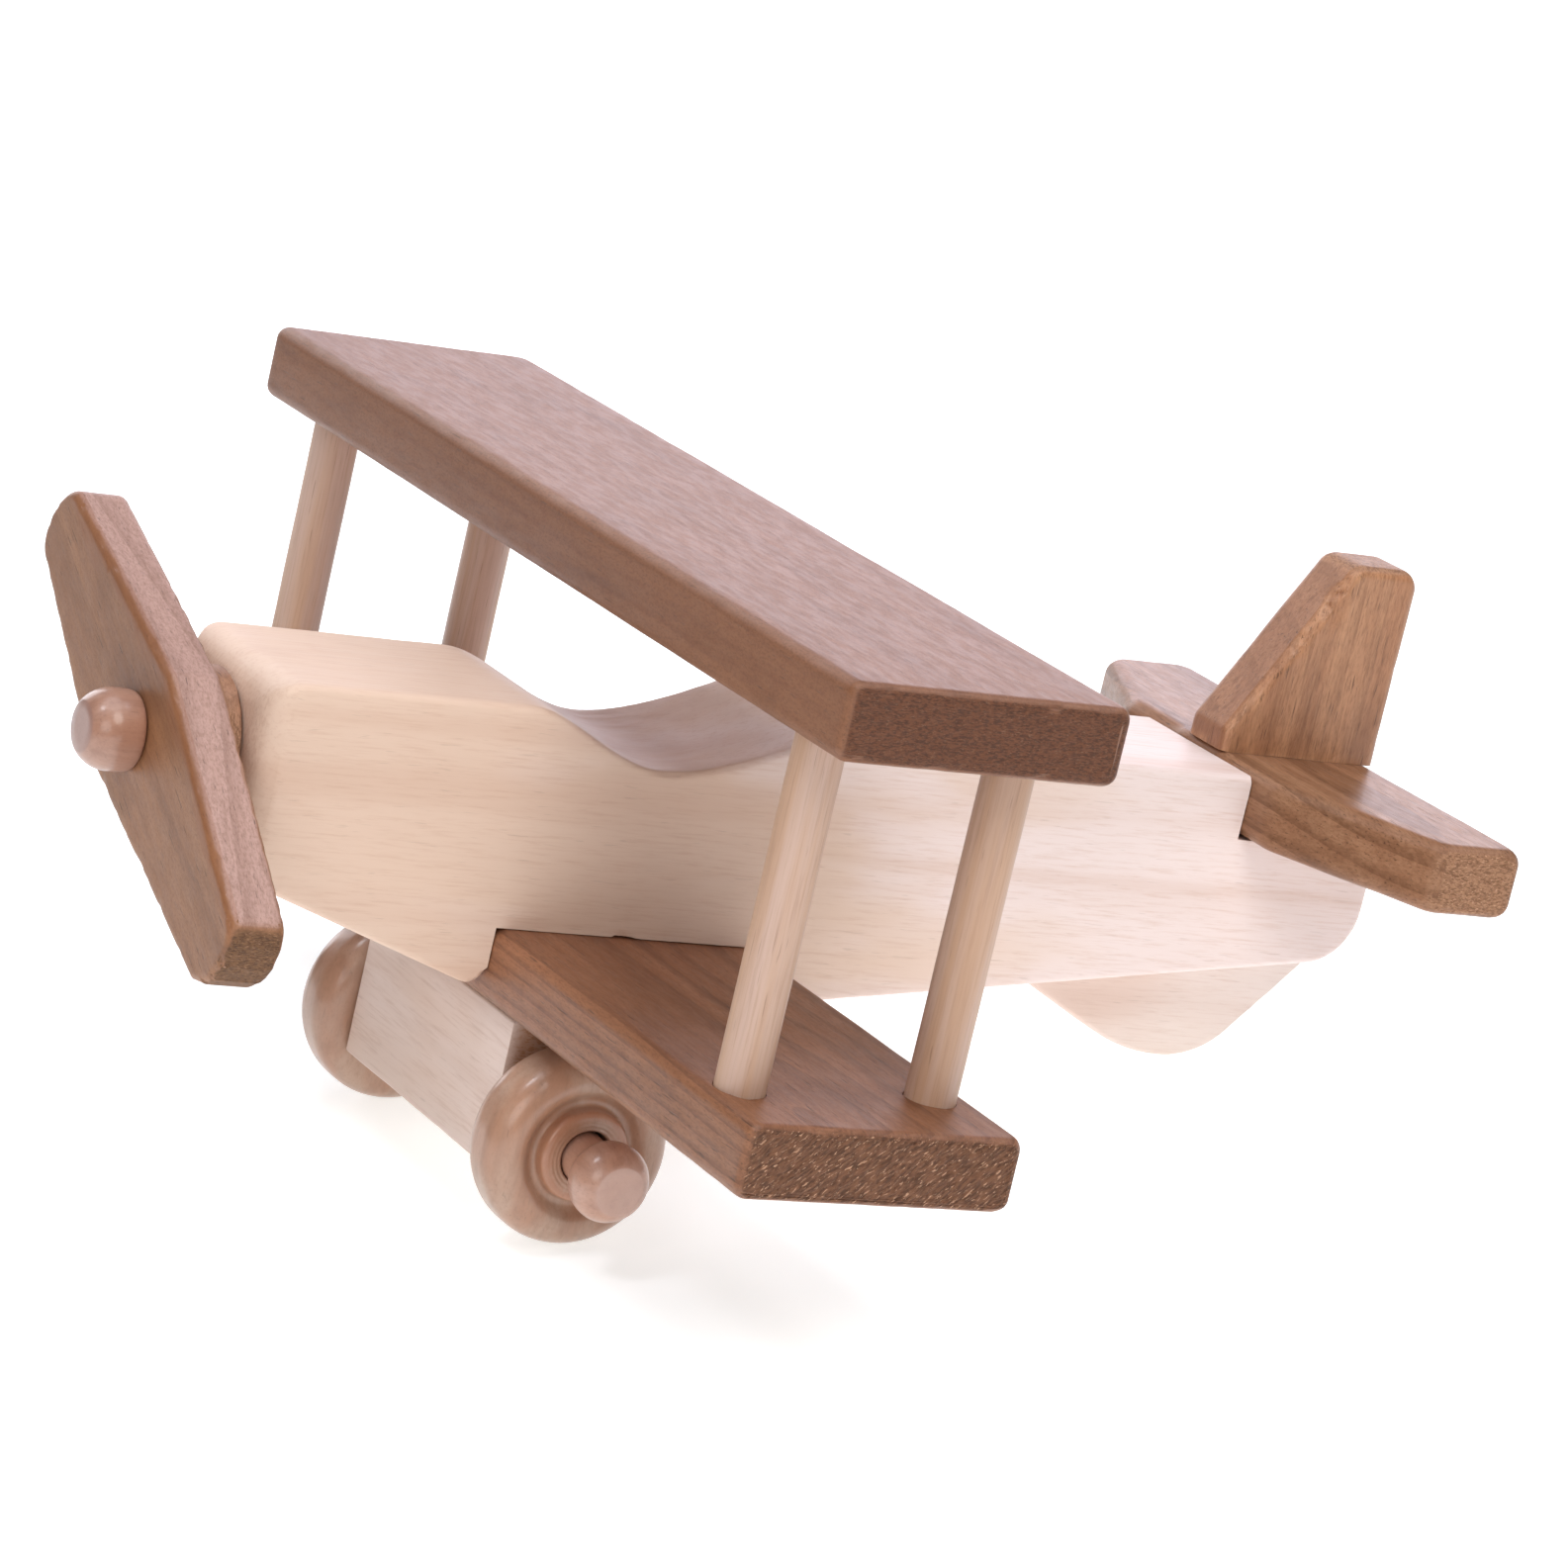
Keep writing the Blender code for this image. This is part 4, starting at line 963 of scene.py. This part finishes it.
def make_fin(material):
    base = TAILPLANE_SEAT[1] + 2 * CAD_GAP + TAILPLANE["depth"]
    crown_z = base + FIN["height"]
    crown_front = (FIN["rear"] - FIN["crown"], crown_z)
    crown_rear = (FIN["rear"], crown_z)
    toe = (FIN["front"], base + FIN["toe"])
    foot = base - CAD_GAP - AIR
    outline = [(FIN["rear"], foot), (FIN["front"], foot)]
    outline += round_corner((FIN["front"], foot), toe, crown_front, 3.0, steps=6)
    outline += round_corner(toe, crown_front, crown_rear, FIN_CROWN_RADIUS)
    outline += round_corner(crown_front, crown_rear, (FIN["rear"], base), FIN_CROWN_RADIUS)
    shape = prism(outline, FIN["thickness"], FIN_EDGE, lambda middle: middle.y > foot + 0.5)
    slice_all(shape, 2.6, 2.2)
    refine(shape, (154.0, 40.0, 3.0), (180.0, 78.0, 7.0), 0.7)
    weather(shape, uneven=0.14, size=14.0, wear=0.35, wear_size=9.0, seed=7.2)
    # Two tears along the port side of the leading edge
    dent(shape, (172.2, 71.0, 5.6), (3.2, 6.5, 1.5), 0.9, (0.6, -0.2, -1.0))
    dent(shape, (167.0, 63.0, 6.0), (2.5, 4.0, 1.2), 0.5, (0.6, -0.2, -1.0))
    place = Matrix.Translation((FIN["x"], 0, 0)) @ SIDE_VIEW
    install("tail_fin", shape, place, material, "Y", (0.0, 7.0, -140.0))


def make_skid(material):
    toe_centre = (SKID_KEEL[0], SKID_KEEL[1] + SKID_TOE_RADIUS)
    heel_centre = (SKID_KEEL[0], SKID_KEEL[1] + SKID_HEEL_RADIUS)
    outline = [(y, belly_z(y) - AIR) for y in (SKID_TOP_REAR_Y, SKID_FRONT_Y)]
    outline += arc(toe_centre, SKID_TOE_RADIUS, -pi / 2 - SKID_TOE_TURN, -pi / 2)
    outline += arc(heel_centre, SKID_HEEL_RADIUS, -pi / 2, -pi / 2 + SKID_HEEL_TURN, steps=24)[1:]
    outline += round_corner(outline[-1], SKID_REAR, outline[0], 1.6, steps=6)
    glued = SKID_TOP_REAR_Y - 0.1
    shape = prism(outline, SKID_THICKNESS, SKID_EDGE,
                  lambda middle: middle.x > glued or middle.y < belly_z(middle.x) - 0.5)
    slice_all(shape, 3.0)
    weather(shape, uneven=0.08, size=16.0, wear=0.25, seed=3.9)
    install("tail_skid", shape, SIDE_VIEW, material, heart=(0.0, 40.0, 70.0))


# ---------------- the stage

def make_floor():
    """A wide white sweep that gives back enough light to stay pale under the toy."""
    shape = bmesh.new()
    bmesh.ops.create_grid(shape, x_segments=1, y_segments=1, size=6.0)
    floor = shape_object("floor", shape)
    recipe = Recipe("floor_white", Base_Color=(0.92, 0.92, 0.93, 1.0), Roughness=0.9,
                    Emission_Color=(0.90, 0.99, 1.0, 1.0), Emission_Strength=0.57)
    floor.data.materials.append(recipe.material)


LIGHT_TARGET = Vector((0.0, 0.0, 0.06))

# Soft boxes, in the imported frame: place in metres, diameter in metres, power in watts, colour
STUDIO = {
    "overhead": ((0.0, 0.0, 1.2), 1.0, 5.4, (0.94, 0.95, 1.0)),
    "overhead_front": ((0.0, -0.55, 1.05), 0.24, 1.9, (0.93, 0.94, 1.0)),
    "overhead_rear": ((0.1, 0.8, 0.95), 0.7, 3.3, (0.94, 0.93, 1.0)),
    "overhead_port": ((0.85, 0.0, 1.0), 0.7, 6.1, (1.0, 0.985, 0.94)),
    "front_port": ((0.85, -0.85, 0.6), 0.7, 3.8, (1.0, 0.96, 0.93)),
    "starboard": ((-1.2, 0.0, 0.45), 0.8, 5.2, (0.98, 0.96, 1.0)),
    "rear_starboard": ((-1.0, 0.7, 0.35), 0.8, 4.0, (0.98, 0.89, 1.0)),
}


def make_light(name, place, size, power, colour):
    lamp = bpy.data.lights.new(name, "AREA")
    lamp.shape = "DISK"
    lamp.size = size
    lamp.energy = power
    lamp.color = colour
    light = add_object(name, lamp)
    light.location = place
    light.rotation_euler = (LIGHT_TARGET - Vector(place)).to_track_quat("-Z", "Y").to_euler()
    light.visible_camera = False


def make_studio():
    """Soft boxes all round and overhead, as in a white photographer's tent."""
    world = bpy.data.worlds.new("studio")
    world.use_nodes = True
    background = world.node_tree.nodes["Background"]
    background.inputs["Color"].default_value = (1.0, 0.97, 1.0, 1.0)
    background.inputs["Strength"].default_value = 0.07
    bpy.context.scene.world = world
    for name, (place, size, power, colour) in STUDIO.items():
        make_light(name, place, size, power, colour)
    bpy.context.scene.view_settings.view_transform = "Standard"


def make_camera():
    lens = bpy.data.cameras.new("camera")
    lens.lens = CAMERA_LENS
    lens.clip_start = 0.05
    lens.clip_end = 30.0
    camera = add_object("camera", lens)
    turn = Euler([radians(a) for a in CAMERA_TURN], "XYZ").to_matrix().to_4x4()
    place = AIRFRAME @ Matrix.Translation(CAMERA_PLACE) @ turn
    camera.location = place.translation
    camera.rotation_euler = place.to_euler("XYZ")
    bpy.context.scene.camera = camera


def main():
    make_camera()
    body = maple("fuselage_maple", (240, 222, 217), (230, 203, 184), (205, 166, 143))
    skid = maple("skid_maple", (243, 228, 220), (236, 214, 202), (211, 180, 163), 100.0, 200.0)
    # The block's dark end tone is partly end grain and partly painted shade where the wheels shade its ends.
    block = maple("block_maple", (226, 207, 198), (219, 195, 181), (184, 150, 132), 300.0, 500.0, 0.25,
                  (160, 112, 80), (0.8, 0.98))
    upper = walnut("upper_wing_walnut", (148, 100, 71), (134, 88, 60), (98, 59, 38), ring_depth=0.15,
                   end_shade=0.50, end_flecks=0.14, end_warmth=(1.1, 0.96, 0.84), felt=1.0)
    lower = walnut("lower_wing_walnut", (164, 113, 82), (143, 94, 64), (96, 58, 38), ring_spacing=2.5,
                   end_shade=0.58, end_lean=radians(-42), end_size=(0.5, 2.3), end_depth=0.4,
                   end_flecks=0.9, end_warmth=(1.02, 0.98, 0.94), felt=0.3)
    # side_light_and_shade_tint paints light on the propeller's edge faces, and shade on the fin's leading and
    # trailing faces.
    blade = walnut("propeller_walnut", (170, 121, 85), (148, 101, 69), (110, 70, 46), ring_spacing=6.0,
                   ring_depth=0.3, streaks=0.2, end_shade=0.58, end_depth=0.2, end_warmth=(0.98, 0.96, 0.9),
                   edge_tint=(146, 92, 60), edge_tint_from=0.55, edge_tint_depth=0.4, side_light_and_shade_tint=(194, 158, 148),
                   felt=0.8)
    spacer = walnut("spacer_walnut", (190, 143, 113), (164, 118, 88), (108, 70, 46), end_shade=0.8,
                    end_flecks=0.5)
    tail = walnut("tail_walnut", (172, 128, 98), (152, 108, 80), (101, 67, 46), ring_spacing=4.4,
                  ring_depth=0.55, streaks=0.1, end_shade=0.84, end_size=(1.2, 3.2), end_depth=0.3,
                  end_flecks=0.9, gloss=0.12, specular=0.2)
    # The fin's pale edge tint is partly wear and partly a painted highlight along its rims.
    fin = walnut("fin_walnut", (200, 148, 110), (178, 125, 90), (118, 76, 50), ring_spacing=6.0,
                 ring_depth=0.25, streaks=0.5, end_shade=0.72, end_depth=0.03, edge_tint=(222, 172, 138),
                 edge_tint_from=1.35, side_light_and_shade_tint=(156, 108, 80), gloss=0.04, specular=0.45, end_rough=0.05)
    birch = dowel_birch("strut_birch", (202, 173, 159), (192, 152, 121), (157, 119, 96))
    wheel = turned_wood("wheel_wood", (180, 149, 129), (174, 131, 106), (146, 109, 89), (178, 146, 126))
    # The axle pegs' pale end tone paints a sheen on the heads' flat facets.
    axle_peg = turned_wood("axle_peg_wood", (194, 156, 140), (188, 142, 119), (150, 107, 89), (204, 172, 160))
    blade_peg = turned_wood("blade_peg_wood", (178, 138, 120), (170, 124, 102), (140, 98, 80),
                            (158, 120, 110))
    make_fuselage(body)
    make_wing("upper_wing", UPPER_WING, upper, -1, 0.18, 0.3, (0.0, 10.0, -95.0), seed=0.4)
    make_wing("lower_wing", LOWER_WING, lower, 1, 0.65, 0.75, (500.0, 12.0, -60.0), seed=6.1)
    make_struts(birch)
    make_undercarriage(block, wheel, axle_peg)
    make_propeller(blade, spacer, blade_peg)
    make_tailplane(tail)
    make_fin(fin)
    make_skid(skid)
    make_floor()
    make_studio()


main()
